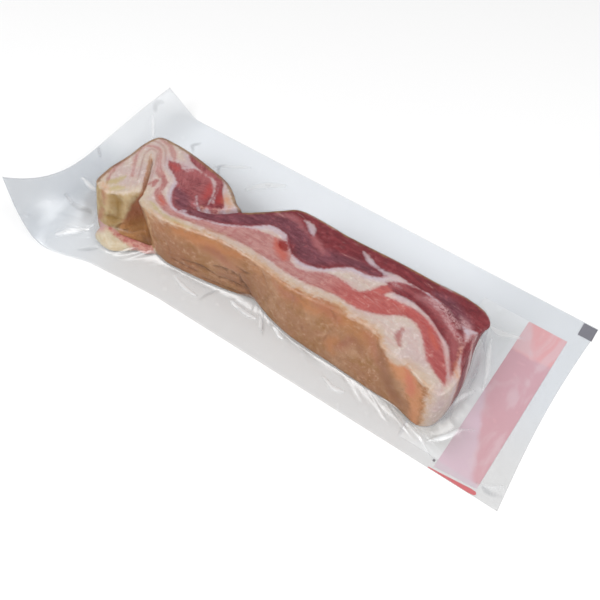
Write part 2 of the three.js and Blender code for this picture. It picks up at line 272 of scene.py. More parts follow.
# Pale lace over the red muscle of the cut end, and at the edges of the block's muscle
FAT_LACE = [
    [[55, 8.6, 1], [60, 7.6, 0.8], [66, 7.8, 0.5]],
    [[80, 9.4, 0.5], [84, 9.8, 1.6], [88, 9.6, 2.2], [93, 8.4, 2], [98, 6, 1.8], [103, 3.4, 2]],
    [[84, 8.6, 0.4], [90, 7, 0.8], [96, 3.6, 1], [102, 0.4, 1.3], [107, -2.4, 1.4], [111.4, -5, 0.6]],
    [[101, 10.6, 0.4], [104, 8.4, 1.2], [108, 5, 2.2], [110.4, 1.6, 2.2], [111, -1.6, 1]],
    [[109.8, -1, 0.7], [110.6, -5, 0.8], [111.6, -10, 0.8], [113.6, -15.6, 0.9], [116, -20.6, 0.8]],
    [[113, 3, 0.6], [114.4, -0.6, 0.5], [115.6, -4, 0.3]],
    [[-88, 8, 0.6], [-84.6, 7.4, 1.3], [-82, 9, 0.6]],
    [[-68, 10.6, 0.5], [-64.4, 8.6, 1.4], [-62, 5.4, 0.7]],
    [[-60, -9.4, 0.6], [-57.4, -10.6, 1.4], [-54, -10, 0.7]],
    [[-52, -7.6, 0.5], [-48.6, -6, 1], [-46.4, -3.4, 0.5]],
]
# Thin grey-mauve layers inside the hairpin
THIN_LAYERS = [
    [[-103.6, -16, 0.3], [-107.6, -9, 0.5], [-112.4, -1.4, 0.6], [-114.4, 4, 0.6], [-113, 8, 0.6],
     [-109.6, 8, 0.6], [-106, 4, 0.6], [-102, -2.4, 0.6], [-98.6, -8.6, 0.6], [-95.4, -14.6, 0.4]],
    [[-120.4, 6, 0.4], [-119, 12, 0.6], [-113.6, 14.4, 0.6], [-107, 13, 0.6], [-102.4, 8.4, 0.6],
     [-98, 2.4, 0.5]],
]
# Lighter, softer red in the muscles
PALE_RED = [
    [[55, -3, 1], [58, 1, 3], [62, 6, 2], [68, 8, 1.2], [76, 8.4, 1]],
    [[84, 6.4, 1], [92, 4.6, 2.6], [99, 1.4, 2.8], [105, -4, 2.6], [109, -10, 1.8], [112, -17, 1]],
    [[7, 8.6, 1], [12, 6, 2.4], [18, 3, 1.6]],
    [[58, 7.4, 1], [64, 8.6, 1.6], [72, 8, 1]],
    [[-84, 8, 1], [-77, 9.6, 3.2], [-70, 9.8, 3.2], [-65, 8, 1.6]],
    [[-92, 6, 0.6], [-86, 4, 1.6], [-81, 0, 1.4]],
]
# Pink blush in the pale fat, strongest in the fleck near the cut end
BLUSH_PATCHES = [
    [[79.8, -14.6, 1.2], [79.8, -17.8, 1.6], [81.4, -21, 1.8], [83.4, -22.6, 1.1]],
    [[-95.6, -14.8, 0.6], [-94, -11.6, 1.1], [-92.6, -9.6, 0.7]],
    [[-121, -18, 0.4], [-120, -24, 1], [-118, -27, 0.6]],
]

# Patches of the cut face whose colour differs: mauve lines, purple and dark lean, bright and
# dark red spots, and fat that is orange or yellow
MAUVE_LINES = [
    [[-20, 10.6, 0.8], [-14, 13.4, 1.6], [-8, 13.6, 1.8], [-2, 11, 1.2], [3, 9, 0.8]],
    [[8, 8.4, 0.6], [12, 6, 1.6], [17, 3.8, 0.8]],
    [[-56, -8.4, 1], [-52, -8.6, 1.6], [-48.6, -7.6, 0.8]],
    [[101.6, 10.4, 0.5], [104.4, 9, 1.4], [109, 6.6, 1.6]],
    [[77, 7.6, 1.2], [81, 8.4, 2.6], [86, 8.6, 2.2], [94, 5.8, 1.2], [99, 3, 0.6]],
]
PURPLE_PATCHES = [
    [[-62, -16.6, 2.6], [-50, -12.6, 3], [-40, -7.6, 3.4], [-30, -2, 4], [-20, 5, 4.6], [-9, 7, 5.4],
     [3, 3, 5.6], [12, -2.6, 6.4], [20, 0.4, 5.6], [28, 4.6, 3.6], [38, 7.4, 3], [50, 7.4, 2.4]],
    [[83, 15, 1.6], [92, 14.4, 3.4], [100, 10.6, 3.6], [107, 7.4, 3]],
    [[-78, -9, 3], [-71, -13.6, 4.4], [-67, -17.6, 2.4]],
]
BRIGHT_SPOTS = [
    [[-66, 6, 1], [-63.4, 2, 2.8], [-62, -3, 1.6]],
    [[-58, 6, 0.4], [-53, -1.4, 1.8]],
    [[-95.6, 5.6, 0.6], [-90, 4.6, 1.2]],
]
DARK_SPOTS = [[[-7, -4.4, 0.8], [-4, -5.4, 2.5], [-0.8, -7, 1.5]]]
ORANGE_PATCHES = [
    [[-10, -4, 0.6], [-5, -8, 2.4], [-1, -10.6, 2.6], [3, -13, 1]],
    [[92, -7, 0.6], [96, -9.6, 1.4], [100, -13, 0.8]],
    [[-52.6, 4.4, 1], [-49.4, 1.8, 2.4], [-46.2, -0.8, 1.8], [-45, -3, 0.8]],
    [[112.6, -15.6, 0.6], [115.4, -19.4, 1.8], [118.4, -21.4, 1.2]],
    [[-119.4, -29.8, 0.8], [-116.6, -31, 1.3], [-114.4, -31.6, 0.7]],
    [[-84, -18.4, 1], [-79, -21.4, 1.4]],
]
YELLOW_PATCHES = [
    [[-117.6, -26.6, 1.2], [-114.6, -23.6, 2], [-112, -18.6, 1]],
    [[-113.2, -29.8, 1], [-110.8, -27, 1.4], [-107.6, -24.8, 0.6]],
    [[-86, -24.6, 0.6], [-72, -28, 1.4], [-56, -26.6, 1]],
]
# Cool brown rind showing as a line where the hairpin closes on itself
FOLDED_RIND = [
    [-110.8, 4.6, 0.3],
    [-108.6, 1.2, 0.9],
    [-105.2, -3.9, 1.2],
    [-101.6, -9.3, 1.4],
    [-98.4, -14.8, 1.4],
    [-95.6, -20, 1.3],
    [-94, -26.6, 1],
]

# The tail's wall, each a line of [mm from its left corner, height, half width]; its hollows get painted
# shade and its ridges painted highlight
TAIL_HOLLOWS = [
    [[9.6, 34.5, 1.4], [12.4, 30.5, 2.6], [13.6, 26, 2], [14.4, 20, 1.1]],
    [[7.6, 19, 1], [11, 18, 2.3], [14.2, 17, 1.6]],
    [[15.6, 13, 0.5], [13.6, 9, 0.9]],
]
TAIL_RIDGES = [
    [[18.6, 38, 3.2], [17.4, 33, 2.6], [16.8, 22, 1.6], [15.4, 15, 1]],
    [[4, 36, 2.2], [5.8, 31, 2.4], [6.6, 26, 1.6]],
    [[7, 36.6, 1], [11, 37, 1.3], [15, 37, 1]],
]
TAIL_PINKS = [
    [[3.6, 23, 1.2], [2, 18, 2.3], [0, 13, 1.8], [-3, 10, 1]],
    [[2.4, 37, 1.3], [3.4, 33, 1.7], [4.4, 28.6, 1]],
]
TAIL_MAUVES = [[[-4, 10, 1.4], [1, 10.4, 2.4], [6, 8, 2.4], [10, 5, 1.4]]]
POCKET_EDGE = [[0, 12], [11, 14.4], [14.5, 16], [20, 17.7], [25, 18.7], [28, 19.6], [32, 21.3], [38, 24]]
MM_PER_ROW = 8  # of the tail's wall, about
# The crest of the lip as [x, y], and how far out from it the lip's lean starts as [x, mm]
POCKET_MOUTH = [[-112, -41], [-106, -38.6], [-96, -37], [-84, -33.4], [-76, -31]]
LIP_LEAN = [[-118, -3], [-110, 1.4], [-104, 3], [-98, 4.4], [-91, 5.4], [-80, 7]]

# How far fat shows above the rind, as [x, mm below the edge of the cut face]
BARE_EDGE = [
    [-93, 2.4], [-76, 2], [-60, 0.5], [-10, 0.3], [6, -0.6], [20, -1.2], [32, -2], [44, -2],
    [52, 0.2], [60, 1], [72, 0], [78, 1.6], [83, 4.5], [87, 4.5], [92, 1.2], [110, 1],
]
# Width of the dark rim of the hidden sides on the cut face, as [row of the outline, mm]
RIM_WIDTH = [[0, 1.2], [NOTCH_ROW - 1.6, 1.6], [NOTCH_ROW - 0.4, 1.9], [BLOCK_ROW, 2.2], [TAIL_ROW, 2.8]]

# Creases and patches of the rind side, each a line of [x, height, half width]; the creases and wrinkles are
# darkened with painted shade
RIND_CREASES = [
    [[-58, 13.2, 0.4], [-52, 13.2, 0.9], [-45, 13.8, 1.5], [-39, 13.2, 0.8], [-34, 12, 0.4]],
    [[-36, 18.4, 0.5], [-31, 19.2, 1.2], [-25, 19.4, 1.4], [-20, 18.6, 0.8]],
    [[-33, 11.4, 0.5], [-28, 11.8, 1.2], [-20, 11, 1.4], [-13.4, 9.2, 0.8]],
    [[-21, 25.4, 0.5], [-17.4, 24, 1], [-13, 24.8, 0.4]],
    [[-19.6, 21, 0.5], [-18, 16, 1.2], [-15, 11.4, 1.5], [-12.4, 6, 0.9]],
    [[-44, 5.4, 0.4], [-33, 4.8, 0.8], [-22, 4.4, 1], [-12, 2.8, 0.7]],
    [[-66, 9.4, 0.4], [-56, 8.2, 0.9], [-47, 8.4, 0.4]],
]
RIND_WRINKLES = [
    [[19, 35, 0.3], [20.4, 31, 0.7], [21, 25.6, 0.3]],
    [[42, 36.6, 0.4], [45.4, 33.4, 0.8], [48.4, 29.6, 0.4]],
    [[46, 26, 0.3], [44.4, 20, 0.7], [43, 14, 0.3]],
    [[68, 9, 0.3], [72, 6, 0.7], [75, 4.4, 0.3]],
    [[-70, 21, 0.3], [-67, 15, 0.6], [-68, 9, 0.3]],
    [[3, 22, 0.3], [1, 16, 0.6], [-2, 11, 0.3]],
    [[-4, 34, 0.3], [-1, 30, 0.6], [1, 26, 0.3]],
]
RIND_DARK = [
    [[76.6, 35, 2], [79.4, 29, 3], [84, 22.6, 3.2], [89, 16, 3.6], [95, 11, 2.4]],
    [[-17, 23, 1], [-14, 17, 2], [-13, 9, 1.4]],
    [[-33, 15, 1.6], [-24, 15, 2.6], [-18, 14, 1.6]],
    [[-45, 28.6, 0.8], [-38, 28.6, 1.4], [-30, 27.4, 0.8]],
    [[55, 22, 1], [60, 27, 1.6], [66, 24, 1]],
]
RIND_ORANGE = [
    [[-64, 33, 1], [-52, 32.4, 2.6], [-42, 31, 3.4], [-32, 31, 3], [-20, 35, 1.4]],
    [[24, 34, 1], [32, 32, 2.4], [40, 35, 1.4]],
    [[50, 12, 1.4], [47, 17, 2.4], [51, 22, 1]],
    [[84, 36, 2.4], [89, 31.6, 4.4], [96, 29.6, 5.8], [102, 24, 5.2], [105.6, 15, 3.4], [107, 6, 2.6]],
]
RIND_RED = [
    [[-42, 30, 1.4], [-36, 28.6, 2.6], [-28, 25, 2.4], [-22, 23, 1]],
    [[6, 34, 1], [14, 32, 2.6], [22, 33, 1]],
    [[64, 33, 1], [72, 31, 2.6], [76, 27, 1.6]],
    [[51.6, 17, 1], [54.6, 20.6, 2.2], [57.6, 26, 1.4]],
    [[32, 36.4, 1.4], [40, 35.4, 3], [48, 33, 2]],
    [[94, 33.6, 1.4], [97.4, 30, 3.2], [99.6, 24.6, 2.4]],
    [[-86, 20, 1], [-82, 13, 3], [-80, 6, 2]],
]

# Wrinkles of the film, raised with painted highlights along them, and sunk with painted shade: [x, y, half
# width]
FILM_GLINTS = [
    # from the block across the notch
    [[-39, 9, 0.2], [-30, 14, 0.5], [-20, 20, 0.5], [-10, 24.6, 0.2]],
    # the pocket of air at the waist of the rind side
    [[-21, -35.6, 0.6], [-14, -37, 1.3], [-7, -37.4, 1.4], [-2, -37, 0.9]],
    [[0, -35, 0.6], [2.6, -38, 1.4], [5.4, -41.4, 0.7]],
    [[10, -36, 0.5], [13, -36.8, 1.1], [16, -38.4, 1.2], [19, -39, 0.4]],
    # between the cut end and the print
    [[113.4, 37, 0.8], [119, 36, 1.7], [125, 37.4, 1.6], [131, 39.6, 0.9]],
    [[118, 30, 0.5], [121.4, 20, 1.4], [126, 9, 1.2], [129, -2, 0.5]],
    [[118.4, -28, 0.4], [122.4, -14, 1], [125.6, -6, 0.5]],
    [[119, -46, 0.5], [126, -38, 1], [131, -30, 0.8], [137, -26, 0.4]],
    [[115, -47, 0.3], [119, -49.6, 0.7], [124, -52.4, 0.4]],
    [[151, -52, 0.4], [158, -49.4, 0.9], [165, -44.4, 0.6]],
    # over the flat far margin and the left end
    [[-96, 44, 0.6], [-84, 52, 1.6], [-76, 57, 0.8]],
    [[-66, 40, 1], [-58, 50, 2.4], [-48, 57, 1.2]],
    [[-136, 28, 0.6], [-143, 38, 1.2], [-150, 46, 0.6]],
    [[-131, -20, 0.6], [-141, -24, 1.4], [-150, -23, 0.7]],
    [[-126, -42, 0.5], [-133, -52, 1.3], [-138, -61, 0.8]],
    [[-60, -41, 0.4], [-50, -44, 1.2], [-41, -44.6, 0.6]],
    [[52, -46, 0.6], [60, -48.6, 1.2], [66, -47.6, 0.6]],
]
FILM_SHADES = [
    [[-60, 20, 0.2], [-53, 17, 0.6], [-46, 13, 0.6], [-39, 8.6, 0.4]],
    [[1, -34.4, 0.4], [5, -39.4, 0.8], [8, -43.4, 0.4]],
    [[-33, -35, 0.5], [-36, -40, 1], [-37, -45, 0.4]],
    [[104, -42, 0.9], [104.4, -47, 0.8], [104.6, -51, 0.4]],
    [[117.6, 13, 0.6], [120.6, 4, 1.3], [122.4, -7, 0.8]],
    [[119.4, -20, 0.6], [121, -27, 1.2], [119.6, -34, 0.6]],
    [[154, -51.4, 0.5], [159, -52.4, 1], [165, -50.4, 0.8]],
    [[-151, 50, 0.8], [-154, 54, 1.4], [-152, 59, 0.7]],
    [[-117, 46, 0.7], [-121, 50.6, 1.3], [-118, 55, 0.7]],
    [[-90, 40, 0.6], [-93.6, 45, 1.3], [-91, 50, 0.6]],
    [[-151, -4, 0.8], [-156, 0, 1.4], [-160, 3, 0.6]],
    [[-134, -36, 0.8], [-141, -40, 1.6], [-148, -39, 0.8]],
    [[-113, -52, 0.6], [-118, -57, 1.3], [-122, -60.4, 0.6]],
]

# The film: its gap to the meat, its rings, and how wide its welded seals are
FILM_GAP = 0.35
CORE_SHARE = 0.88  # how near to the middle line its innermost ring lies
LEAST_ON_TOP = 30  # lowest height on the meat's top, where a ray misses it at the edge
WALL_START = 0.955  # share of the meat's height where the film turns down the walls
TOP_RINGS = 9
WALL_RINGS = 10
FREE_RINGS = 40
FOOT_SHADE_RINGS = 9  # how many free rings the shade at the foot reaches, and in the corners
CORNER_SHADE_RINGS = 26
RELAXING_PASSES = 500  # how often the free rings are evened out in plan
HEIGHT_PASSES = 4  # how often their heights are
FOOT_PASSES = 12  # how often the height is where the film leaves the walls
RAY_START = 80  # height from where rays look down on the meat
SLOPE_BEND = 2.2  # how hollow the slope from the meat to the margins is
SEAL_FAR, SEAL_PRINTED, SEAL_LEFT = 18.2, 12.0, 10.6

# The print's corners and edges, near line then far line
PRINT_THICKNESS = 0.05
LABEL = [[104, -51.5], [131, -51.5]], [[101.3, 53.7], [131, 53.7]]
BAND = [[128.5, -56], [152.5, -54]], [[130.8, 53.5], [154.8, 53.5]]
EDGE_STRIP = (
    [[126, -58.3], [134, -58.35], [142, -58.35], [150, -58.35], [152.8, -57.9], [153.5, -57.2]],
    [[126, -57.8], [134, -57.2], [142, -56.4], [150, -55.6], [152.8, -55.7], [153.5, -56.4]],
)
MARK = [[157.8, 61.6], [166.2, 61.6]], [[157.8, 71], [166.2, 71]]
DOT = [[126.3, -53.8], [127.5, -53.8]], [[126.3, -52.4], [127.5, -52.4]]

# Looks
MEAT_SHADE = 0.9  # evens out the bright studio
FREE_ALPHA = 0.2  # of the film between the meat and its margins
CLING_ALPHA = 0.05  # of the film on the meat
TOUCHING_ALPHA = 0.02  # of free film that lies on the meat
# the lit far margin's tint is painted light, brightening the film where the meat shades the floor behind it
FREE_TINTS = (176, 177, 178), (180, 191, 203), (223, 232, 242)  # near, far, lit far margin
CLING_TINTS = [(110, 104, 104)] * 3

POINTS_AT_A_TIME = 4000  # of the meat's mesh, when they are placed beside the outline


def ramp(x, start, end):
    """0 at start and before it, 1 at end and past it, smooth between; end may be the lower one."""
    t = np.clip((x - start) / (end - start), 0, 1)
    return t * t * (3 - 2 * t)


def mix(a, b, t):
    return a + (b - a) * t


def table_at(table, x):
    """Values at x from a table of [x, value], straight between its rows."""
    return np.interp(x, *np.transpose(table))


def segment_points(before, start, end, after, t):
    """Points of a centripetal Catmull-Rom curve between start and end."""

    def knot(a, b):
        return np.maximum(np.sqrt(np.linalg.norm(b - a, axis=-1, keepdims=True)), 1e-4)

    d0, d1, d2 = knot(before, start), knot(start, end), knot(end, after)
    leave = ((start - before) / d0 - (end - before) / (d0 + d1) + (end - start) / d1) * d1
    arrive = ((end - start) / d1 - (after - start) / (d1 + d2) + (after - end) / d2) * d1
    square = -3 * start + 3 * end - 2 * leave - arrive
    cube = 2 * start - 2 * end + leave + arrive
    return start + leave * t + square * t**2 + cube * t**3


def closed_curve(points, steps):
    """A smooth closed curve through points, sampled evenly between each pair."""
    p = np.asarray(points, float)[:, None, :]
    t = (np.arange(steps) / steps)[None, :, None]
    sampled = segment_points(np.roll(p, 1, 0), p, np.roll(p, -1, 0), np.roll(p, -2, 0), t)
    return sampled.reshape(-1, p.shape[2])


def open_curve(points, shares):
    """Points of a smooth open curve at shares of its length, counted in its own points."""
    p = np.asarray(points, float)
    p = np.vstack([2 * p[0] - p[1], p, 2 * p[-1] - p[-2]])
    place = np.clip(np.asarray(shares, float), 0, 1) * (len(points) - 1)
    first = np.minimum(place.astype(int), len(points) - 2)
    t = (place - first)[:, None]
    return segment_points(p[first], p[first + 1], p[first + 2], p[first + 3], t)


def offset_ring(ring, distance):
    """A ring moved outward by a distance, square to itself."""
    along = np.roll(ring, -1, 0) - np.roll(ring, 1, 0)
    along /= np.maximum(np.linalg.norm(along, axis=1, keepdims=True), 1e-6)
    return ring + np.column_stack([along[:, 1], -along[:, 0]]) * np.reshape(distance, (-1, 1))


TOP_RING = closed_curve([row[:2] for row in OUTLINE], STEPS)
FOOT_RING = closed_curve([row[2:] for row in OUTLINE], STEPS)
RING_POINTS = len(TOP_RING)


def wall_ring(share, clearance):
    """The strip's outline at a share of its height, one number or one for each point."""
    lean = np.reshape(np.power(share, WALL_LEAN), (-1, 1))
    return offset_ring(mix(FOOT_RING, TOP_RING, lean), clearance)


def top_height(x, y):
    """Height of the cut top face, drooping over the near corner of the cut end."""
    end_droop = 4.5 * ramp(x, 62, 102) * ramp(y, 6, -30)
    tail_droop = 0.8 * ramp(x, -98, -114) * ramp(y, -12, -28)
    waves = 0.35 * np.sin(x / 9 + y / 14) + 0.3 * np.sin(y / 5 - x / 23)
    return MEAT_TOP - end_droop - tail_droop + waves


def line_inside(points, line):
    """How far plan points lie inside a line with half widths, in mm; negative outside."""
    nodes = open_curve(line, np.linspace(0, 1, 5 * len(line)))
    best = np.full(len(points), -1e3)
    for a, b in zip(nodes[:-1], nodes[1:]):
        along = b[:2] - a[:2]
        t = np.clip(((points - a[:2]) @ along) / max(along @ along, 1e-9), 0, 1)
        away = np.linalg.norm(points - a[:2] - t[:, None] * along, axis=1)
        best = np.maximum(best, mix(a[2], b[2], t) - away)
    return best


def lines_inside(points, lines):
    return np.max([line_inside(points, line) for line in lines], axis=0)


def path_place(points, line):
    """For each plan point, how far along a line its nearest point is, and how far away, in mm."""
    nodes = open_curve([[x, y, 0] for x, y in line], np.linspace(0, 1, 4 * len(line)))[:, :2]
    along_best = np.zeros(len(points))
    away_best = np.full(len(points), 1e3)
    travelled = 0.0
    for a, b in zip(nodes[:-1], nodes[1:]):
        step = b - a
        length = np.linalg.norm(step)
        t = np.clip(((points - a) @ step) / max(length**2, 1e-9), 0, 1)
        away = np.linalg.norm(points - a - t[:, None] * step, axis=1)
        nearer = away < away_best
        along_best = np.where(nearer, travelled + t * length, along_best)
        away_best = np.where(nearer, away, away_best)
        travelled += length
    return along_best, away_best


def lumps(points, size, seed):
    """Smooth noise from -1 to 1 at points in mm, with lumps of about the given size."""
    return np.array([noise.noise(Vector(p) / size + Vector((seed, seed, seed))) for p in points])


def make_mesh(name, vertices, faces):
    """A new object from vertices in mm."""
    mesh = bpy.data.meshes.new(name)
    mesh.from_pydata((np.asarray(vertices) * MM).tolist(), [], faces)
    mesh.update()
    obj = bpy.data.objects.new(name, mesh)
    bpy.context.scene.collection.objects.link(obj)
    return obj


def vertex_vectors(mesh, field):
    """The vertices' positions in metres, "co", or their normals, "normal"."""
    found = np.empty(len(mesh.vertices) * 3, np.float32)
    mesh.vertices.foreach_get(field, found)
    return found.reshape(-1, 3).astype(float)


def shade_smooth(mesh):
    mesh.polygons.foreach_set("use_smooth", [True] * len(mesh.polygons))
    mesh.update()


def store(mesh, name, values):
    """Keeps one number, or one vector, for each vertex, for the material to read."""
    values = np.asarray(values, np.float32)
    if values.ndim == 1:
        mesh.attributes.new(name, "FLOAT", "POINT").data.foreach_set("value", values)
    else:
        mesh.attributes.new(name, "FLOAT_VECTOR", "POINT").data.foreach_set("vector", values.ravel())


def ring_faces(rings, count, flip=False):
    """Quads between neighbouring rings of count points each."""
    faces = []
    for ring in range(rings - 1):
        for i in range(count):
            a, b = ring * count + i, ring * count + (i + 1) % count
            quad = [a, b, b + count, a + count]
            faces.append(quad[::-1] if flip else quad)
    return faces


# The meat

ring_row = np.arange(RING_POINTS) / STEPS
tail_share = ramp(ring_row, TAIL_ROW - 1, TAIL_ROW + 0.4) * ramp(ring_row, RIND_ROW - 0.2, RIND_ROW - 1.6)
EDGE_ROUNDING = mix(TOP_EDGE_ROUNDING, TAIL_EDGE_ROUNDING, tail_share)


def loft(rings, heights):
    """Vertices and faces of a closed body through rings, lowest first."""
    count = len(rings[0])
    levels = [np.column_stack([ring, np.broadcast_to(z, count)]) for ring, z in zip(rings, heights)]
    top = (len(rings) - 1) * count
    caps = [list(range(count))[::-1], list(range(top, top + count))]
    return np.vstack(levels), ring_faces(len(rings), count) + caps


def strip_body():
    rings, heights = [], []
    for share in (0, 0.03, 0.06, 0.15, 0.3, 0.45, 0.6, 0.72, 0.82):
        rings.append(wall_ring(share, -FOOT_ROUNDING * (1 - min(1, share / 0.06))))
        heights.append(mix(MEAT_FOOT, MEAT_TOP, share))
    for rise in (0, 0.35, 0.6, 0.8, 0.94, 1):
        height = MEAT_TOP - EDGE_ROUNDING * (1 - rise)
        share = (height - MEAT_FOOT) / (MEAT_TOP - MEAT_FOOT)
        rings.append(wall_ring(share, -EDGE_ROUNDING * (1 - np.sqrt(1 - rise * rise))))
        heights.append(height)
    return loft(rings, heights)


def lip_body():
    """The lip is a low cushion: its rings draw in towards a line under the tail as they rise."""
    foot = closed_curve(LIP, STEPS)
    core = np.column_stack([np.clip(foot[:, 0], *LIP_CORE_X), np.full(len(foot), LIP_CORE_Y)])
    rings, heights = [], []
    for share, inward in [(0, 0.03), (0.25, -0.03), (0.55, 0.06), (0.8, 0.2), (0.95, 0.38), (1, 0.55)]:
        ring = mix(foot, core, inward)
        lowered = 1 - 0.34 * ramp(ring[:, 0], -114, -104) - 0.16 * ramp(ring[:, 0], -98, -84)
        rings.append(ring)
        heights.append(MEAT_FOOT + 0.6 + LIP_HEIGHT * share * lowered)
    return loft(rings, heights)


def outline_place(points):
    """For each point, the row of the outline beside it, and how far inside the outline it is."""
    share = np.clip((points[:, 2] - MEAT_FOOT) / (MEAT_TOP - MEAT_FOOT), 0, 1)
    lean = np.power(share, WALL_LEAN)
    row = np.zeros(len(points))
    inside = np.zeros(len(points))
    for start in range(0, len(points), POINTS_AT_A_TIME):
        part = slice(start, start + POINTS_AT_A_TIME)
        rings = mix(FOOT_RING[None], TOP_RING[None], lean[part, None, None])
        away = np.linalg.norm(rings - points[part, None, :2], axis=2)
        nearest = away.argmin(1)
        here = np.arange(len(nearest))
        step = (rings[here, (nearest + 1) % RING_POINTS] - rings[here, nearest - 1]) / 2
        length = np.maximum(np.linalg.norm(step, axis=1), 1e-6)
        offset = points[part, :2] - rings[here, nearest]
        along = (offset * step).sum(1) / length**2
        row[part] = (nearest + np.clip(along, -0.5, 0.5)) / STEPS
        inside[part] = (offset[:, 1] * step[:, 0] - offset[:, 0] * step[:, 1]) / length
    return row, inside


def groove(points, line, half_width, depth):
    """How deep a groove along a plan line is at each point of the top."""
    along, away = path_place(points[:, :2], line)
    length = along.max()
    ends = ramp(along, 0, 6) * (0.5 + 0.5 * ramp(length - along, 0, 8))
    return depth * ends * np.clip(1 - away / half_width, 0, 1) ** 1.4 * ramp(points[:, 2], 24, 36)


TOP_MARKS = {
    "pink": PINK_BANDS,
    "lean": LEAN_BANDS,
    "fat": FAT_STREAKS,
    "lace": FAT_LACE,
    "blush": BLUSH_PATCHES,
    "mauve": MAUVE_LINES,
    "layer": THIN_LAYERS,
    "pale_red": PALE_RED,
    "purple": PURPLE_PATCHES,
    "bright": BRIGHT_SPOTS,
    "spot": DARK_SPOTS,
    "orange": ORANGE_PATCHES,
    "yellow": YELLOW_PATCHES,
    "fold": [FOLDED_RIND],
}
RIND_MARKS = {
    "crease": RIND_CREASES,
    "wrinkle": RIND_WRINKLES,
    "rind_dark": RIND_DARK,
    "rind_orange": RIND_ORANGE,
    "rind_red": RIND_RED,
}
TAIL_MARKS = {
    "hollow": TAIL_HOLLOWS,
    "ridge": TAIL_RIDGES,
    "tail_pink": TAIL_PINKS,
    "tail_mauve": TAIL_MAUVES,
}


def remeshed_meat():
    """The strip and its lip as one body with small even faces."""
    strip, strip_faces = strip_body()
    lip, lip_faces = lip_body()
    lip_faces = [[i + len(strip) for i in face] for face in lip_faces]
    rough = make_mesh("rough_meat", np.vstack([strip, lip]), strip_faces + lip_faces)
    remesh = rough.modifiers.new("remesh", "REMESH")
    remesh.mode = "VOXEL"
    remesh.voxel_size = 0.8 * MM
    mesh = bpy.data.meshes.new_from_object(rough.evaluated_get(bpy.context.evaluated_depsgraph_get()))
    bpy.data.objects.remove(rough)
    mesh.name = "meat_strip"
    obj = bpy.data.objects.new("meat_strip", mesh)
    bpy.context.scene.collection.objects.link(obj)
    return obj


def meat_regions(points, row, inside):
    """Shares from 0 to 1 of the lip, the pocket's floor, the sides, the rind and the tail."""
    x, y, z = points.T
    low_left = ramp(z, 13.5, 11.5) * ramp(x, -74, -78)
    outside = ramp(inside, -0.3, -1.5)
    past_crest = ramp(y - table_at(POCKET_MOUTH, x), -0.5, 1.5)
    on_lip = np.maximum(outside, ramp(y, -36, -39)) * low_left * (1 - past_crest)
    pocket_floor = outside * low_left * past_crest
    on_side = ramp(inside, 4, 2) * ramp(inside, -5, -3) * ramp(z, MEAT_TOP - 1, MEAT_TOP - 3)
    on_side *= 1 - on_lip
    rind_part = ramp(row, RIND_ROW - 0.6, RIND_ROW - 0.1) * ramp(row, CUT_ROW + 0.5, CUT_ROW)
    tail_part = ramp(row, TAIL_ROW - 1.6, TAIL_ROW - 0.8) * ramp(row, RIND_ROW + 0.2, RIND_ROW - 0.4)
    return on_lip, pocket_floor, on_side, rind_part, tail_part


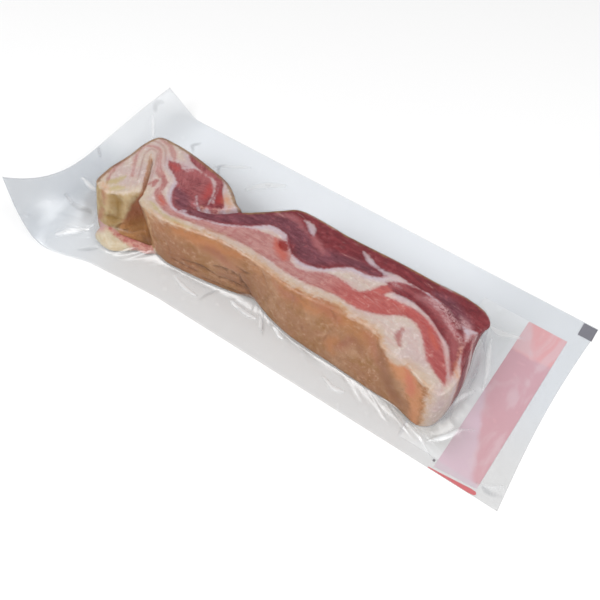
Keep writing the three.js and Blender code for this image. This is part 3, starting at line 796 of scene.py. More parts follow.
def build_meat():
    obj = remeshed_meat()
    mesh = obj.data
    points = vertex_vectors(mesh, "co") / MM
    row, inside = outline_place(points)
    x, y, z = points.T
    plan = np.column_stack([x, y])
    tail_across = (row - TAIL_ROW) * MM_PER_ROW
    marks = {}
    for across, up, named_lines in [(x, y, TOP_MARKS), (x, z, RIND_MARKS), (tail_across, z, TAIL_MARKS)]:
        for name, lines in named_lines.items():
            marks[name] = lines_inside(np.column_stack([across, up]), lines)
    on_lip, pocket_floor, on_side, rind_part, tail_part = meat_regions(points, row, inside)

    # Relief: cut face, grooves of the folds, creases and lumps of the sides
    height = (z - MEAT_FOOT) / (MEAT_TOP - MEAT_FOOT)
    on_top = ramp(height, 0.9, 0.98)
    sunk = 0.3 * ramp(marks["pink"], 0, 1.5) + 0.4 * ramp(marks["lean"], 0, 2)
    sunk -= 0.35 * ramp(marks["fat"], 0, 1)
    dents = 0.5 + 0.5 * lumps(points, 9.0, 3.1)
    fine = 0.5 + 0.5 * lumps(points, 3.2, 8.7)
    points[:, 2] = MEAT_FOOT + height * (top_height(x, y) - MEAT_FOOT)
    points[:, 2] -= groove(points, FOLD_LINE, 1.5, 3.4)
    points[:, 2] -= groove(points, BLOCK_CREVICE, 1.7, 5)
    points[:, 2] -= groove(points, TAIL_CREASE, 1.2, 0.8)
    points[:, 2] -= 3 * pocket_floor * ramp(z, 1.5, 5.5)
    points[:, 2] -= on_top * (sunk + 0.3 + 0.35 * dents + 0.15 * fine)
    depth = on_side * (0.5 * dents + 0.25 * fine) * (1 - 0.8 * tail_part)
    depth += on_side * rind_part * 1.1 * ramp(marks["crease"], -0.6, 1.2)
    depth += on_side * rind_part * 0.4 * ramp(marks["wrinkle"], -0.8, 0.8)
    depth += on_side * tail_part * 1.6 * ramp(marks["hollow"], -2.2, 2.2)
    depth -= on_side * tail_part * 0.4 * ramp(marks["ridge"], -1.6, 1.6)
    depth += on_side * tail_part * 0.5 * fine
    depth += on_lip * (1.2 * dents + 0.5 * fine)
    points -= vertex_vectors(mesh, "normal") * depth[:, None]
    mesh.vertices.foreach_set("co", (points * MM).astype(np.float32).ravel())
    shade_smooth(mesh)

    # What the material reads: distances in mm inside each mark, and shares from 0 to 1
    for name, values in marks.items():
        store(mesh, name, values)
    store(mesh, "lip", on_lip)
    along, away = path_place(plan, GRAIN_LINE)
    store(mesh, "grain", np.column_stack([along, away, points[:, 2]]))
    below = top_height(x, y) - points[:, 2]
    store(mesh, "below", below)
    bare_edge = table_at(BARE_EDGE, x)
    over_edge = np.where(below < 9, below - np.maximum(inside - 1, 0), 9)
    over_edge = np.minimum(over_edge, 9 + bare_edge - inside)
    rind_start = (row - RIND_ROW - 0.85) * 9
    rind_end = (CUT_ROW + 0.25 - row) * 9
    rind = np.minimum.reduce([over_edge - bare_edge, rind_end, rind_start])
    rind = np.where(rind > 0, rind * (1 - 0.6 * ramp(x, -58, -76)), rind)
    store(mesh, "rind", np.where(on_lip + pocket_floor > 0.5, -9, rind))
    outer_side = np.minimum(TAIL_ROW - 0.6 - row, row - 0.9) * 8
    store(mesh, "skin", np.minimum(table_at(RIM_WIDTH, row) - inside, outer_side))
    tail_rows = np.minimum(row - TAIL_ROW + 1.3, RIND_ROW + 0.95 - row) * MM_PER_ROW
    tail = np.where(pocket_floor > 0.5, 5, np.minimum(over_edge - 1.8, tail_rows))
    store(mesh, "tail", tail)
    pocket = tail_across - table_at(POCKET_EDGE, z)
    store(mesh, "pocket", np.where(pocket_floor > 0.3, 5, np.where(tail > -2, pocket, -9)))
    out_from_crest = table_at(POCKET_MOUTH, x) - y
    store(mesh, "lip_lean", table_at(LIP_LEAN, x) - out_from_crest)
    return obj


# The film bag

RAIL_SHARES = np.linspace(0, 1, 241)
RAILS = [open_curve(rail, RAIL_SHARES) for rail in (RAISED_NEAR, RAISED_MIDDLE, RAISED_FAR)]


def raised_point(near, middle, far, across):
    """A point of the raised end between the rails: x and z keep the middle's until near the edges."""
    v = across * 2 - 1
    near_share = np.maximum(0, -v) ** EDGE_CURL
    far_share = np.maximum(0, v) ** EDGE_CURL

    def blend(axis):
        to_near = (near[..., axis] - middle[..., axis]) * near_share
        return middle[..., axis] + to_near + (far[..., axis] - middle[..., axis]) * far_share

    return blend(0), np.maximum(0, blend(2))


def sheet_height(points):
    """Height of the pouch's underside at plan points."""
    near, middle, far = (rail[None] for rail in RAILS)
    y = points[:, 1, None]
    across = np.clip((y - near[..., 1]) / (far[..., 1] - near[..., 1]), 0, 1)
    x_along, z_along = raised_point(near, middle, far, across)
    passed = np.clip((x_along > points[:, 0, None]).sum(1), 1, len(RAIL_SHARES) - 1)
    rows = np.arange(len(points))
    x0, x1 = x_along[rows, passed - 1], x_along[rows, passed]
    z0, z1 = z_along[rows, passed - 1], z_along[rows, passed]
    t = np.clip((x0 - points[:, 0]) / np.maximum(x0 - x1, 1e-6), 0, 1)
    return np.where(points[:, 0] > FLAT_LENGTH_END, 0, mix(z0, z1, t))


def rail_at_x(rail, x):
    """Plan points of a long edge at given x, on its straight part or along its rail."""
    y = np.interp(-x, -rail[:, 0], rail[:, 1])
    return np.column_stack([x, np.where(x > FLAT_LENGTH_END, rail[0][1], y)])


def printed_end_bow(across):
    """How far the printed end draws in at a share of its width."""
    return PRINTED_END_BOW * np.sin(np.pi * across)


def pouch_edge():
    """The pouch's edge in plan, one point for each point of the meat's outline."""
    near, middle, far = RAILS
    corner_rows = (0.3, BLOCK_ROW + 4.2, TAIL_ROW - 0.4, CUT_ROW + 0.4)
    corners = [int(row * STEPS) for row in corner_rows]
    corners.append(corners[0] + RING_POINTS)
    far_side, left_end, near_side, printed = (
        np.arange(first, last + 1) % RING_POINTS for first, last in zip(corners[:-1], corners[1:])
    )

    def shares(side, axis):
        values = TOP_RING[side, axis]
        return np.clip((values - values[0]) / (values[-1] - values[0]), 0, 1)

    edge = np.zeros((RING_POINTS, 2))
    edge[far_side] = rail_at_x(far, mix(PRINTED_END, far[-1][0], shares(far_side, 0)))
    edge[near_side] = rail_at_x(near, mix(near[-1][0], PRINTED_END, shares(near_side, 0)))
    across = 1 - shares(left_end, 1)
    x, _ = raised_point(near[-1], middle[-1], far[-1], across)
    edge[left_end] = np.column_stack([x, mix(near[-1][1], far[-1][1], across)])
    across = shares(printed, 1)
    x = PRINTED_END - printed_end_bow(across)
    edge[printed] = np.column_stack([x, mix(NEAR_EDGE, FAR_EDGE, across)])
    return edge


def slope_height(points):
    """Height of the film's slope round the meat at plan points, 0 outside it."""
    outer = closed_curve([row[:2] for row in FILM_SLOPE], STEPS)
    inner = closed_curve([row[2:4] for row in FILM_SLOPE], STEPS)
    start = closed_curve([[row[4], 0] for row in FILM_SLOPE], STEPS)[:, 0]
    levels = np.linspace(0, 1, 41)
    tree = KDTree(len(outer) * len(levels))
    heights = []
    for inward in levels:
        for p, rise in zip(mix(outer, inner, inward), start * inward**SLOPE_BEND):
            tree.insert((p[0], p[1], 0), len(heights))
            heights.append(rise)
    tree.balance()
    found = np.zeros(len(points))
    for i, p in enumerate(points):
        near = tree.find_n((p[0], p[1], 0), 4)
        weights = np.array([1 / (distance + 0.05) for _, _, distance in near])
        found[i] = weights @ [heights[index] for _, index, _ in near] / weights.sum()
        found[i] *= ramp(near[0][2], 4.5, 1.5)
    return found


def meat_height(tree, points):
    """Height of the meat under plan points, 0 beside it."""
    found = np.zeros(len(points))
    above = RAY_START * MM
    for i, p in enumerate(points):
        hit = tree.ray_cast(Vector((p[0] * MM, p[1] * MM, above)), Vector((0, 0, -1)))
        if hit[0] is not None:
            found[i] = hit[0].z / MM
    return found


def relaxed(rings, passes):
    """Rings in plan, smoothed between the first and the last so that none cross."""
    for _ in range(passes):
        across = (rings[:-2] + rings[2:]) / 2
        around = (np.roll(rings[1:-1], 1, 1) + np.roll(rings[1:-1], -1, 1)) / 2
        rings[1:-1] = mix(across, around, 0.4)
    return rings


def seal_inside(points):
    """How far plan points are inside the welded seals of three edges, in mm; negative between."""
    x, y = points.T
    bow = printed_end_bow((y - NEAR_EDGE) / (FAR_EDGE - NEAR_EDGE))
    printed = x - (PRINTED_END - bow - SEAL_PRINTED)
    far = y - (FAR_EDGE - SEAL_FAR)
    near_end, middle_end, far_end = (rail[-1] for rail in RAILS)
    across = np.clip((y - near_end[1]) / (far_end[1] - near_end[1]), 0, 1)
    left_x, _ = raised_point(near_end, middle_end, far_end, across)
    return np.maximum.reduce([printed, far, left_x + SEAL_LEFT - x])


def clinging_film(tree, core):
    """Rings of the film on the meat, from its middle line out and down the walls, and their heights."""
    rings, heights = [], []
    top_edge = wall_ring(1, -EDGE_ROUNDING)
    over_top = [mix(top_edge, core, inward) for inward in np.linspace(CORE_SHARE, 0, TOP_RINGS)]
    for ring in [*over_top, wall_ring(1, -0.4 * EDGE_ROUNDING)]:
        rings.append(ring)
        heights.append(np.maximum(meat_height(tree, ring), LEAST_ON_TOP) + FILM_GAP)
    leave = np.clip(slope_height(FOOT_RING) / MEAT_TOP, 0.05, 0.85)
    for _ in range(FOOT_PASSES):
        leave = (np.roll(leave, 1) + leave + np.roll(leave, -1)) / 3
    for down in np.linspace(0, 1, WALL_RINGS):
        share = mix(WALL_START, leave, down)
        rings.append(wall_ring(share, FILM_GAP))
        heights.append(mix(MEAT_FOOT, top_height(*rings[-1].T), share) + FILM_GAP)
    return rings, heights


def free_film(tree, free):
    """Height of the film on rings of plan points from the meat to the margins, and of the meat there."""
    flat = free.reshape(-1, 2)
    shape = free.shape[:2]
    sheet = sheet_height(flat)
    seal = seal_inside(flat)
    puff = 0.3 + 0.6 * ramp(seal, 0, -5)
    crinkle = lumps(np.column_stack([flat, np.zeros(len(flat))]), 11.0, 2.2)
    wrinkles = 0.45 * ramp(lines_inside(flat, FILM_GLINTS), -1.2, 1.4)
    wrinkles -= 0.3 * ramp(lines_inside(flat, FILM_SHADES), -1.2, 1.4)
    slope = 0.9 + slope_height(flat)
    on_meat = meat_height(tree, flat)
    on_meat = np.where(on_meat > 0, on_meat + FILM_GAP, 0)
    rise = np.maximum.reduce([sheet + puff * (1 + 0.5 * crinkle), np.where(slope > 1, slope, 0), on_meat])
    rise = rise.reshape(shape)
    least = np.maximum(sheet + 0.3, on_meat).reshape(shape)
    for _ in range(HEIGHT_PASSES):
        around = (np.roll(rise[1:-1], 1, 1) + np.roll(rise[1:-1], -1, 1) + rise[:-2] + rise[2:]) / 4
        rise[1:-1] = np.maximum(mix(rise[1:-1], around, 0.7), least[1:-1])
    # Folds that run from the meat out to the margins and fade there
    out_share = np.linspace(0, 1, FREE_RINGS + 1)[:, None]
    angle = np.arange(RING_POINTS) / RING_POINTS * 2 * np.pi
    folds = lumps(np.column_stack([np.cos(angle) * 26, np.sin(angle) * 26, np.zeros(RING_POINTS)]), 1.0, 4.4)
    folds = np.maximum(0, folds)[None] * np.sin(np.pi * np.clip(out_share * 1.6, 0, 1))
    rise[1:-1] += (folds * ramp(seal, 0, -6).reshape(shape) + wrinkles.reshape(shape))[1:-1]
    return np.maximum(rise, (sheet + 0.3).reshape(shape)), on_meat.reshape(shape)


def film_shares(free, rise, on_meat):
    """Where the free film lies on meat, and where painted shade darkens it beside the meat, with the meat's
    painted reflection at its foot, from 0 to 1.
    """
    contact = ramp(np.where(on_meat > 0, on_meat, -9) - rise, -7, -4)
    x, y = np.moveaxis(free, -1, 0)
    out_from_crest = table_at(POCKET_MOUTH, x) - y
    over_pocket = ramp(out_from_crest, 1, -1) * ramp(x, -117, -114) * ramp(x, -74, -77) * (y < 0)
    contact = np.maximum(contact, over_pocket)
    contact[0] = contact[1]
    out_ring = np.arange(FREE_RINGS + 1)[:, None]
    fading_out = ramp(out_ring, CORNER_SHADE_RINGS, 0)
    foot = ramp(out_ring, FOOT_SHADE_RINGS, 0) * ramp(rise, 9, 5)
    right_corner = ramp(x, 78, 94) * ramp(y, -20, -32) * fading_out
    left_corner = ramp(x, -80, -88) * ramp(x, -128, -118) * ramp(y, -38, -43) * fading_out
    shaded = np.maximum.reduce([0.6 * foot, 0.9 * right_corner, 0.5 * left_corner]) * (1 - contact)
    shaded[0] = 0
    return contact, shaded


def build_film(meat):
    tree = BVHTree.FromObject(meat, bpy.context.evaluated_depsgraph_get())
    core_x = np.clip(TOP_RING[:, 0], MIDDLE_LINE[0][0], MIDDLE_LINE[-1][0])
    core = np.column_stack([core_x, table_at(MIDDLE_LINE, core_x)])
    upper, lift = clinging_film(tree, core)
    cling_rings = len(upper)
    spread = np.linspace(0, 1, FREE_RINGS + 1)[:, None, None] ** 1.3
    free = relaxed(mix(upper[-1][None], pouch_edge()[None], spread), RELAXING_PASSES)
    rise, on_meat = free_film(tree, free)
    upper += list(free[1:])
    lift += list(rise[1:])
    lower = list(free[::-1]) + [mix(FOOT_RING, core, share) for share in (0.1, 0.4, 0.7, CORE_SHARE)]
    lift += [sheet_height(ring) + 0.08 for ring in lower]
    rings = upper + lower

    count = RING_POINTS
    last = (len(rings) - 1) * count
    faces = ring_faces(len(rings), count, flip=True)
    faces.append(list(range(count)))
    faces.append(list(range(last, last + count))[::-1])
    vertices = [np.column_stack([ring, z]) for ring, z in zip(rings, lift)]
    obj = make_mesh("film_bag", np.vstack(vertices), faces)
    mesh = obj.data
    plan = vertex_vectors(mesh, "co")[:, :2] / MM
    store(mesh, "seal", seal_inside(plan))
    foot = (cling_rings - 1) * count
    contact, shaded = film_shares(free, rise, on_meat)
    for name, values in (("contact", contact), ("foot_shade", shaded)):
        on_free = np.zeros(len(plan))
        on_free[foot : foot + values.size] = values.ravel()
        store(mesh, name, on_free)
    outer_film = np.arange(len(plan)) < len(upper) * count
    for name, lines in (("glint", FILM_GLINTS), ("shade", FILM_SHADES)):
        store(mesh, name, np.where(outer_film, lines_inside(plan, lines), -20))
    clings = np.zeros(len(mesh.polygons), np.int32)
    clings[:foot] = 1
    clings[last:] = 1
    mesh.polygons.foreach_set("material_index", clings)
    shade_smooth(mesh)
    return obj


# The print, thin plates between the two films


def plate(name, near_line, far_line, low, columns, rows):
    """A thin closed plate on the flat part of the pouch, ruled between two lines of [x, y]."""
    shares = np.linspace(0, len(near_line) - 1, columns + 1)
    places = np.arange(len(near_line))
    near, far = (
        np.column_stack([np.interp(shares, places, values) for values in np.transpose(line)])
        for line in (near_line, far_line)
    )
    grid = mix(near[None], far[None], np.linspace(0, 1, rows + 1)[:, None, None]).reshape(-1, 2)
    heights = (low, low + PRINT_THICKNESS)
    vertices = np.vstack([np.column_stack([grid, np.full(len(grid), z)]) for z in heights])
    half = len(grid)
    faces = []
    for row in range(rows):
        for column in range(columns):
            a = row * (columns + 1) + column
            b, c, d = a + 1, a + columns + 2, a + columns + 1
            faces.append([half + a, half + b, half + c, half + d])
            faces.append([a, d, c, b])
    rim = list(range(columns + 1))
    rim += [row * (columns + 1) + columns for row in range(1, rows + 1)]
    rim += [rows * (columns + 1) + column for column in range(columns - 1, -1, -1)]
    rim += [row * (columns + 1) for row in range(rows - 1, 0, -1)]
    for a, b in zip(rim, rim[1:] + rim[:1]):
        faces.append([a, b, half + b, half + a])
    return make_mesh(name, vertices, faces)


# Materials


def linear(red, green, blue):
    """A colour as it looks on screen, 0 to 255, as the light values that a shader takes."""
    out = []
    for part in (red, green, blue):
        c = part / 255
        out.append(c / 12.92 if c <= 0.04045 else ((c + 0.055) / 1.055) ** 2.4)
    return (*out, 1.0)


class Shader:
    """A material's nodes, made by short calls that return output sockets.

    Colours are given as they look on screen, 0 to 255, and places and sizes in mm.
    """

    def __init__(self, name):
        self.material = bpy.data.materials.new(name)
        self.material.use_nodes = True
        self.tree = self.material.node_tree
        self.surface = self.tree.nodes["Principled BSDF"]
        self.place = self.scaled(self.node("ShaderNodeTexCoord").outputs["Object"], (1000, 1000, 1000))
        self.x, self.y, self.z = self.node("ShaderNodeSeparateXYZ", {"Vector": self.place}).outputs

    def node(self, kind, inputs=(), **settings):
        made = self.tree.nodes.new(kind)
        for key, value in settings.items():
            setattr(made, key, value)
        for key, value in dict(inputs).items():
            self.put(made.inputs[key], value)
        return made

    def put(self, socket, value):
        if isinstance(value, bpy.types.NodeSocket):
            self.tree.links.new(value, socket)
        else:
            socket.default_value = linear(*value) if socket.type == "RGBA" else value

    def set(self, name, value):
        self.put(self.surface.inputs[name], value)

    def attribute(self, name, output="Fac"):
        return self.node("ShaderNodeAttribute", attribute_name=name).outputs[output]

    def scaled(self, vector, scale):
        return self.node("ShaderNodeVectorMath", {0: vector, 1: scale}, operation="MULTIPLY").outputs[0]

    def noise(self, size, detail=3.0, rough=0.55, twist=0.0, vector=None):
        """Noise from 0 to 1 with features of about size mm, over the object or along a vector."""
        inputs = {"Scale": 1 / size, "Detail": detail, "Roughness": rough, "Distortion": twist}
        inputs["Vector"] = self.place if vector is None else vector
        return self.node("ShaderNodeTexNoise", inputs).outputs["Fac"]

    def chained(self, operation, values):
        total = values[0]
        for value in values[1:]:
            total = self.node("ShaderNodeMath", {0: total, 1: value}, operation=operation).outputs[0]
        return total

    def add(self, *values):
        return self.chained("ADD", values)

    def times(self, *values):
        return self.chained("MULTIPLY", values)

    def sway(self, value, span):
        """A value of 0 to 1 spread about zero over a span."""
        return self.times(self.add(value, -0.5), span)

    def step(self, value, low, high):
        """0 below low and 1 above high, smooth between."""
        inputs = {"Value": value, "From Min": low, "From Max": high, "To Min": 0.0, "To Max": 1.0}
        return self.node("ShaderNodeMapRange", inputs, interpolation_type="SMOOTHSTEP").outputs["Result"]

    def reach(self, name, wander, low, high):
        """A step over a stored distance, its place moved by a wander in mm."""
        return self.step(self.add(self.attribute(name), wander), low, high)

    def mark(self, name, soft, wander):
        """1 inside a mark and 0 outside it, with an edge soft by so many mm."""
        return self.reach(name, wander, -soft, soft)

    def blend_value(self, factor, a, b):
        return self.node("ShaderNodeMix", {0: factor, 2: a, 3: b}, data_type="FLOAT").outputs[0]

    def blend(self, factor, a, b):
        return self.node("ShaderNodeMix", {0: factor, 6: a, 7: b}, data_type="RGBA").outputs[2]

    def layered(self, colour, *layers):
        """A colour with others laid over it in turn, each as share, strength, colour."""
        for share, strength, over in layers:
            colour = self.blend(self.times(share, strength), colour, over)
        return colour

    def bump(self, height, distance, strength):
        """Makes the surface bumpy by a height of 0 to 1 that stands for distance mm."""
        inputs = {"Height": height, "Strength": strength, "Distance": distance * MM}
        self.set("Normal", self.node("ShaderNodeBump", inputs).outputs["Normal"])


def fat_colour(s, grain, wander):
    cloudy = s.noise(13)
    mottled = s.noise(3, 4, 0.65, 0.4)
    streaks = s.noise(1.3, 4, 0.65, vector=s.scaled(grain, (0.12, 1, 0.3)))
    by_lean = s.reach("lean", wander, -4.5, -0.5)
    by_purple = s.times(s.reach("purple", wander, -7, -1.5), by_lean)
    tan = s.times(s.mark("orange", 2.6, wander), s.step(mottled, 0.3, 0.6))
    return s.layered(
        s.blend(s.step(cloudy, 0.36, 0.64), (203, 181, 177), (209, 191, 178)),
        (s.step(mottled, 0.48, 0.7), 0.7, (230, 216, 212)),
        (s.step(mottled, 0.46, 0.3), 0.5, (194, 165, 160)),
        (by_lean, 0.4, (196, 172, 186)),
        (by_purple, 0.6, (198, 184, 198)),
        (s.reach("pink", wander, -2.2, 0.2), 0.35, (206, 158, 150)),
        (s.mark("layer", 0.8, s.times(wander, 0.3)), 0.75, (178, 140, 132)),
        (s.step(streaks, 0.5, 0.7), 0.45, (204, 162, 156)),
        (s.reach("tail", wander, -9, -1), 0.5, (206, 190, 158)),
        (s.mark("blush", 1.4, wander), 0.8, (168, 98, 96)),
        (s.mark("yellow", 1.6, wander), 0.7, (188, 170, 112)),
        (tan, 0.75, (208, 146, 100)),
    )


def lean_colour(s, grain, wander):
    along_grain = s.scaled(grain, (0.2, 1, 0.5))
    fibres = s.step(s.noise(1.6, 5, 0.65, vector=along_grain), 0.2, 0.84)
    blotches = s.noise(3.8, 5, 0.66, 0.5)
    veins = s.noise(2.2, 5, 0.7, 0.6, along_grain)
    net = s.noise(1.8, 5, 0.7, 1.2)
    lace = s.times(s.mark("lace", 1.2, wander), s.step(net, 0.36, 0.58))
    return s.layered(
        s.blend(fibres, (106, 28, 38), (144, 54, 60)),
        (s.step(s.x, -54, -64), 1, s.blend(fibres, (132, 58, 64), (178, 104, 106))),
        (s.mark("purple", 2.6, wander), 0.85, s.blend(fibres, (90, 38, 52), (142, 84, 96))),
        (s.step(blotches, 0.5, 0.7), 0.55, (84, 22, 34)),
        (s.step(blotches, 0.46, 0.3), 0.5, (172, 92, 96)),
        (s.mark("pale_red", 2.6, wander), 0.5, (182, 104, 106)),
        (s.mark("mauve", 2.2, wander), 0.5, (188, 122, 126)),
        (s.mark("bright", 2.6, wander), 0.65, (188, 68, 64)),
        (s.mark("orange", 2.0, wander), 0.6, (206, 124, 86)),
        (s.step(s.attribute("lean"), 1.6, 0.2), 0.35, (168, 80, 84)),
        (s.step(veins, 0.6, 0.72), 0.5, (202, 146, 142)),
        (lace, 0.85, s.blend(s.step(s.y, 0, -10), (200, 158, 160), (212, 150, 130))),
    )


def pink_colour(s, grain, wander):
    fibres = s.step(s.noise(1.6, 5, 0.65, vector=s.scaled(grain, (0.2, 1, 0.5))), 0.24, 0.8)
    blotches = s.noise(4.2, 5, 0.66, 0.4)
    veins = s.noise(2, 5, 0.7, 0.5, s.scaled(grain, (0.22, 1, 0.6)))
    return s.layered(
        s.blend(fibres, (172, 110, 106), (200, 152, 146)),
        (s.step(s.x, 20, 50), 1, s.blend(fibres, (172, 78, 76), (200, 116, 108))),
        (s.step(s.x, 70, 100), 1, s.blend(fibres, (158, 66, 66), (190, 102, 100))),
        (s.step(blotches, 0.5, 0.7), 0.5, (164, 78, 78)),
        (s.step(blotches, 0.44, 0.28), 0.6, (218, 166, 156)),
        (s.mark("orange", 1.8, wander), 0.75, (196, 92, 74)),
        (s.step(s.attribute("pink"), 1.1, 0.1), 0.5, (166, 76, 82)),
        (s.step(veins, 0.56, 0.74), 0.4, (222, 178, 170)),
    )


def rind_colour(s):
    cloudy = s.noise(11, 4, 0.6, 0.5)
    mottled = s.noise(3.4, 5, 0.7, 0.3)
    broad = s.noise(20, 3, 0.5, 0.4)
    below = s.attribute("below")
    upper = s.blend(s.step(cloudy, 0.4, 0.62), (184, 126, 80), (172, 118, 80))
    lower = s.blend(s.step(cloudy, 0.4, 0.65), (166, 118, 84), (156, 110, 66))
    drift = s.sway(mottled, 9)
    orange = s.blend(s.step(s.x, 74, 88), (190, 122, 72), (214, 146, 102))
    reddish = s.blend(s.step(s.x, 84, 92), (172, 104, 80), (200, 100, 86))
    dots = s.node("ShaderNodeTexVoronoi", {"Vector": s.place, "Scale": 0.5}).outputs["Distance"]
    pimples = s.times(s.step(dots, 0.3, 0.14), s.step(s.noise(7, 2), 0.46, 0.56))
    pimply = s.times(s.step(s.x, 46, 60), s.step(s.x, 92, 78))
    broken = s.step(s.noise(4, 4, 0.6), 0.3, 0.56)
    rough = s.sway(s.noise(1.6, 4, 0.65), 2.6)
    return s.layered(
        s.blend(s.step(s.add(below, s.times(cloudy, 14)), 8, 22), upper, lower),
        (s.step(broad, 0.5, 0.66), 0.6, (184, 142, 110)),
        (s.step(broad, 0.46, 0.32), 0.6, (158, 104, 72)),
        (s.step(mottled, 0.5, 0.72), 0.7, (200, 160, 128)),
        (s.step(mottled, 0.46, 0.28), 0.7, (138, 88, 60)),
        (s.mark("rind_orange", 3.4, drift), 0.7, orange),
        (s.mark("rind_red", 3.2, drift), 0.6, reddish),
        (s.mark("rind_dark", 3.0, drift), 0.6, (138, 90, 66)),
        (pimples, s.add(0.15, s.times(pimply, 0.5)), (208, 160, 132)),
        # painted shade darkens the creases and wrinkles
        (s.times(s.mark("crease", 1.1, rough), broken), 0.75, (112, 72, 50)),
        (s.times(s.mark("wrinkle", 0.9, rough), broken), 0.4, (126, 82, 58)),
        # painted shade darkening the rind towards its foot
        (s.step(below, 30, 38), 0.4, (136, 98, 62)),
    )


def tail_colour(s):
    """Yellowish fat with painted shade, olive, in its hollows and painted highlight, cream, on its ridges,
    pinkish at the left.
    """
    drift = s.sway(s.noise(3.5, 5, 0.65), 6)
    half_drift = s.times(drift, 0.5)
    # painted shadow in the pocket, darkest against the rind's wall
    deep = s.step(s.add(s.x, drift), -100, -88)
    pocket = s.layered(
        s.blend(s.step(s.z, 8, 22), (184, 134, 86), (162, 98, 64)),
        (s.step(drift, 0.1, 1.4), 0.4, (144, 92, 58)),
        (deep, 0.7, (118, 72, 46)),
    )
    return s.layered(
        s.blend(s.step(s.noise(5, 4, 0.65), 0.35, 0.65), (192, 170, 128), (168, 136, 88)),
        # the ridges get painted highlight and the hollows painted shade
        (s.mark("ridge", 2.4, drift), 0.7, (202, 176, 136)),
        (s.mark("tail_pink", 2.4, drift), 0.8, (168, 112, 84)),
        (s.mark("tail_mauve", 2.2, drift), 0.75, (206, 156, 156)),
        (s.mark("hollow", 2.4, drift), 0.9, (150, 114, 54)),
        (s.reach("below", half_drift, 3.4, 0.6), 0.6, (202, 182, 164)),
        (s.mark("pocket", 1.4, s.times(drift, 0.4)), 1, pocket),
    )


def lip_colour(s):
    """Cream fat at the left and pink lean at the right, pale along the foot."""
    drift = s.sway(s.noise(3, 5, 0.66), 5)
    across = s.add(s.x, s.times(drift, 1.4))
    mauve = s.times(s.step(across, -111, -117), s.step(s.y, -47, -42))
    lean = s.blend(s.step(drift, -0.3, 0.4), (202, 140, 128), (180, 96, 90))
    return s.layered(
        s.blend(s.step(s.noise(5, 4, 0.6, 0.4), 0.4, 0.65), (210, 198, 174), (200, 180, 148)),
        (s.mark("lip_lean", 1.4, drift), 0.9, lean),
        (mauve, 0.75, (196, 144, 150)),
        (s.step(s.z, 3.0, 1.4), 1, (220, 202, 184)),
    )


def hidden_side_colour(s):
    """The far walls and the rim: dark along the strip, pale round the folded block."""
    patchy = s.noise(5, 4, 0.6)
    rim = s.blend(s.step(patchy, 0.4, 0.6), (130, 92, 68), (156, 122, 84))
    strip_wall = s.blend(s.step(patchy, 0.3, 0.66), (112, 52, 48), (142, 84, 68))
    block_wall = s.blend(s.step(patchy, 0.3, 0.7), (158, 112, 84), (182, 146, 116))
    wall = s.blend(s.step(s.x, -40, -58), strip_wall, block_wall)
    on_wall = s.step(s.attribute("below"), 1.2, 4)
    return s.blend(on_wall, rim, wall), s.blend_value(on_wall, 0.8, 0.95)


def meat_material():
    s = Shader("cured_meat")
    grain = s.attribute("grain", "Vector")
    streaky = s.noise(1.2, 4, 0.6, vector=s.scaled(grain, (0.3, 1, 0.6)))
    wander = s.add(s.sway(s.noise(5), 2.4), s.sway(streaky, 2.4))
    slight = s.add(s.times(wander, 0.5), s.sway(s.noise(1.7, 4, 0.65), 2.4))
    rough_edge = s.add(slight, s.times(wander, 1.4))
    fat = fat_colour(s, grain, wander)
    pink_share = s.blend_value(s.step(s.x, -102, -90), 0.6, 1.0)
    side, side_share = hidden_side_colour(s)
    uneven = s.step(s.noise(9, 3, 0.6), 0.4, 0.62)
    colour = s.layered(
        fat,
        (s.mark("pink", 1.1, slight), pink_share, pink_colour(s, grain, wander)),
        (s.mark("lean", 1.0, slight), 1, lean_colour(s, grain, wander)),
        (s.mark("fat", 1.0, slight), 0.85, fat),
        (s.mark("spot", 1.1, slight), 0.85, (138, 12, 8)),
        (s.mark("fold", 0.7, slight), 0.85, s.blend(s.step(s.y, -4, -18), (194, 148, 116), (164, 106, 70))),
        (s.mark("skin", 0.7, slight), side_share, side),
        (s.mark("tail", 1.6, rough_edge), 1, tail_colour(s)),
        (s.reach("rind", rough_edge, -6, -0.5), 0.4, (204, 174, 136)),
        (s.times(s.reach("rind", rough_edge, -2.6, 0.6), uneven), 0.6, (200, 150, 100)),
        (s.reach("rind", rough_edge, -0.8, 2.6), 1, rind_colour(s)),
        (s.step(s.attribute("lip"), 0.3, 0.7), 1, lip_colour(s)),
    )
    s.set("Base Color", s.scaled(colour, (MEAT_SHADE, MEAT_SHADE, MEAT_SHADE)))
    s.set("Roughness", s.add(0.38, s.times(s.noise(2.5), 0.25)))
    s.set("Subsurface Weight", 0.12)
    s.set("Subsurface Radius", (1.0, 0.5, 0.35))
    s.set("Subsurface Scale", 0.003)
    s.set("Coat Weight", 0.12)
    s.set("Coat Roughness", 0.12)
    s.set("Specular IOR Level", 0.2)
    s.bump(s.add(s.times(s.noise(1.1, 4, 0.6), 0.5), s.times(streaky, 0.5), s.noise(4.5)), 0.6, 0.7)
    return s.material


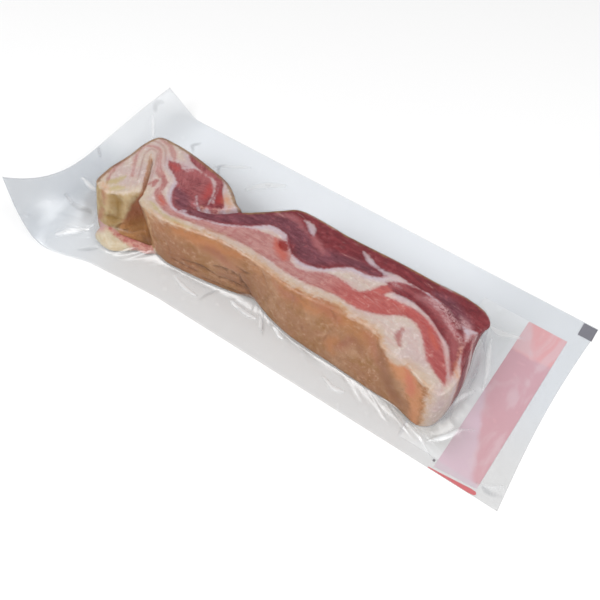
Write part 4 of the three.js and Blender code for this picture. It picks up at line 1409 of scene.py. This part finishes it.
def film_material(name, tints, alpha, rough, crinkle_depth):
    """Clear film: little of it shows but its gloss, its wrinkles with painted highlights and painted shade,
    and a cool grey tint.

    The tints are those of its near side, of its far side and of the far margin with painted light on it.
    """
    s = Shader(name)
    near, far, lit = tints
    crinkle = s.noise(14, 3, 0.5, 0.6, s.scaled(s.place, (1, 0.6, 1)))
    drift = s.sway(crinkle, 2)
    # glint paints highlights and shade paints shade along the film's wrinkles
    glint = s.mark("glint", 0.9, drift)
    shade = s.mark("shade", 0.9, drift)
    # foot_shade paints shade, and the meat's reflection, onto the film by the meat's foot and corners
    foot = s.attribute("foot_shade")
    # painted shade on the near side of the raised, curled left end
    curl_shade = s.times(s.step(s.x, -134, -148), s.step(s.y, 20, -10))
    # painted light on the far margin behind the meat
    lit_margin = s.times(s.step(s.y, 22, 40), s.step(s.x, -142, -120), s.step(s.x, 130, 70))
    colour = s.layered(
        s.blend(s.step(s.y, -45, 20), near, far),
        (s.step(s.x, -90, -130), 1, far),
        (lit_margin, 1, lit),
        (curl_shade, 0.9, (144, 158, 174)),
        (foot, 0.9, (136, 128, 118)),
        (glint, 1, (246, 248, 250)),
        (shade, 0.7, (110, 114, 124)),
    )
    s.set("Base Color", colour)
    marked = s.add(s.times(glint, alpha * 1.2), s.times(shade, alpha * 0.7))
    free_alpha = s.add(alpha, marked, s.times(curl_shade, 0.14), s.times(foot, 0.3))
    s.set("Alpha", s.blend_value(s.attribute("contact"), free_alpha, TOUCHING_ALPHA))
    s.set("IOR", 3.0)
    s.set("Specular IOR Level", 0.5)
    seal = s.step(s.attribute("seal"), -0.4, 0.4)
    s.set("Roughness", s.add(rough, s.times(s.noise(9), 0.1), s.times(seal, 0.06)))
    fine = s.times(s.noise(2.6), 0.1)
    s.bump(s.add(s.times(crinkle, 1.6), fine, s.times(seal, 0.2), s.times(glint, 0.4)), crinkle_depth, 0.8)
    return s.material


def finish_print(s, colour, veil, veil_share):
    """Print seen through wrinkled film that veils it in places."""
    cloudy = s.noise(12, 4, 0.6, 0.7, s.scaled(s.place, (1, 0.45, 1)))
    grainy = s.noise(0.8, 2)
    veiled = s.layered(colour, (s.step(cloudy, 0.5, 0.68), veil_share, veil), (grainy, 0.12, veil))
    s.set("Base Color", veiled)
    s.set("Roughness", s.add(0.4, s.times(grainy, 0.15)))
    s.bump(cloudy, 0.4, 0.4)
    return s.material


def print_material(name, colour, veil, veil_share):
    return finish_print(Shader(name), colour, veil, veil_share)


def band_material():
    """The pink band: strong at the printed side, salmon at its far end, mauve at the near left."""
    s = Shader("print_pink")
    drift = s.sway(s.noise(9), 5)
    across = s.add(s.times(s.add(s.x, -131), 0.94), s.times(s.add(s.y, 3), 0.34), drift)
    mauve = s.times(s.step(across, 2, -2), s.step(s.y, 16, 8))
    veil = s.step(s.add(s.times(s.add(s.x, -134), 0.9), s.times(s.add(s.y, -48), 0.42), drift), 3, 0)
    veil = s.times(veil, s.step(s.y, 30, 34))
    colour = s.layered(
        s.blend(mauve, (213, 156, 165), (218, 188, 202)),
        (s.step(s.add(s.y, drift), 30, 33), 1, (234, 164, 164)),
        (s.step(s.y, -51, -53), 1, (214, 196, 206)),
        (veil, 0.6, (226, 196, 200)),
    )
    return finish_print(s, colour, (226, 200, 206), 0.45)


def floor_material():
    s = Shader("floor")
    s.set("Base Color", s.blend_value(s.noise(300, 2), 0.93, 0.95))
    s.set("Roughness", 0.75)
    s.set("Specular IOR Level", 0.1)
    return s.material


def keep(obj, *materials, slot=None):
    """Gives a piece its materials and ties it to the part."""
    for material in materials:
        obj.data.materials.append(material)
    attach(obj, "root")
    return obj


meat = keep(build_meat(), meat_material(), slot="cured_meat")
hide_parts("pancetta")

margin = film_material("clear_film_margin", FREE_TINTS, FREE_ALPHA, 0.24, 0.25)
cling = film_material("clear_film_cling", CLING_TINTS, CLING_ALPHA, 0.14, 0.3)
film = keep(build_film(meat), margin, cling, slot="clear_film")
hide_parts("pouch")

white_print = print_material("print_white", (237, 238, 239), (228, 230, 228), 0.5)
red_print = print_material("print_red", (214, 76, 84), (224, 120, 118), 0.2)
dark_print = print_material("print_grey", (104, 98, 106), (120, 114, 122), 0.3)
keep(plate("print_label", *LABEL, 0.12, 9, 35), white_print)
keep(plate("print_band", *BAND, 0.2, 8, 36), band_material())
keep(plate("print_edge", *EDGE_STRIP, 0.2, 25, 3), red_print)
keep(plate("print_mark", *MARK, 0.2, 3, 3), dark_print)
keep(plate("print_dot", *DOT, 0.2, 2, 2), dark_print)

# Floor, light and camera
FLOOR_REACH = 3000
floor_corners = [[x * FLOOR_REACH, y * FLOOR_REACH, 0] for x, y in ((-1, -1), (1, -1), (1, 1), (-1, 1))]
floor = make_mesh("floor", floor_corners, [[0, 1, 2, 3]])
floor.data.materials.append(floor_material())

scene = bpy.context.scene
scene.view_settings.view_transform = "Standard"
world = bpy.data.worlds.new("studio")
world.use_nodes = True
background = world.node_tree.nodes["Background"]
background.inputs["Color"].default_value = (1, 1, 1, 1)
background.inputs["Strength"].default_value = 0.52
scene.world = world


def softbox(name, place, target, size, power):
    """A square soft light at a place in mm, facing a target."""
    light = bpy.data.lights.new(name, "AREA")
    light.size = size * MM
    light.energy = power
    obj = bpy.data.objects.new(name, light)
    obj.location = Vector(place) * MM
    obj.rotation_euler = (Vector(place) - Vector(target)).to_track_quat("Z", "Y").to_euler()
    scene.collection.objects.link(obj)


softbox("key", (-350, -650, 900), (0, 0, 0), 500, 5.6)
softbox("side", (750, 50, 850), (0, 0, 0), 700, 4.4)
softbox("front", (100, -500, 1300), (0, 0, 0), 900, 2.4)

# The camera's place is in metres, and right, up and back are its own directions
camera_data = bpy.data.cameras.new("camera")
camera_data.lens = 45.24
camera_data.sensor_width = 36
camera = bpy.data.objects.new("camera", camera_data)
right = Vector((0.8208, 0.5712, 0.0))
up = Vector((-0.4802, 0.6899, 0.5417))
back = right.cross(up)
turn = Matrix((right, up, back)).transposed().to_4x4()
camera.matrix_world = Matrix.Translation((0.1513, -0.2115, 0.3792)) @ turn
scene.collection.objects.link(camera)
scene.camera = camera
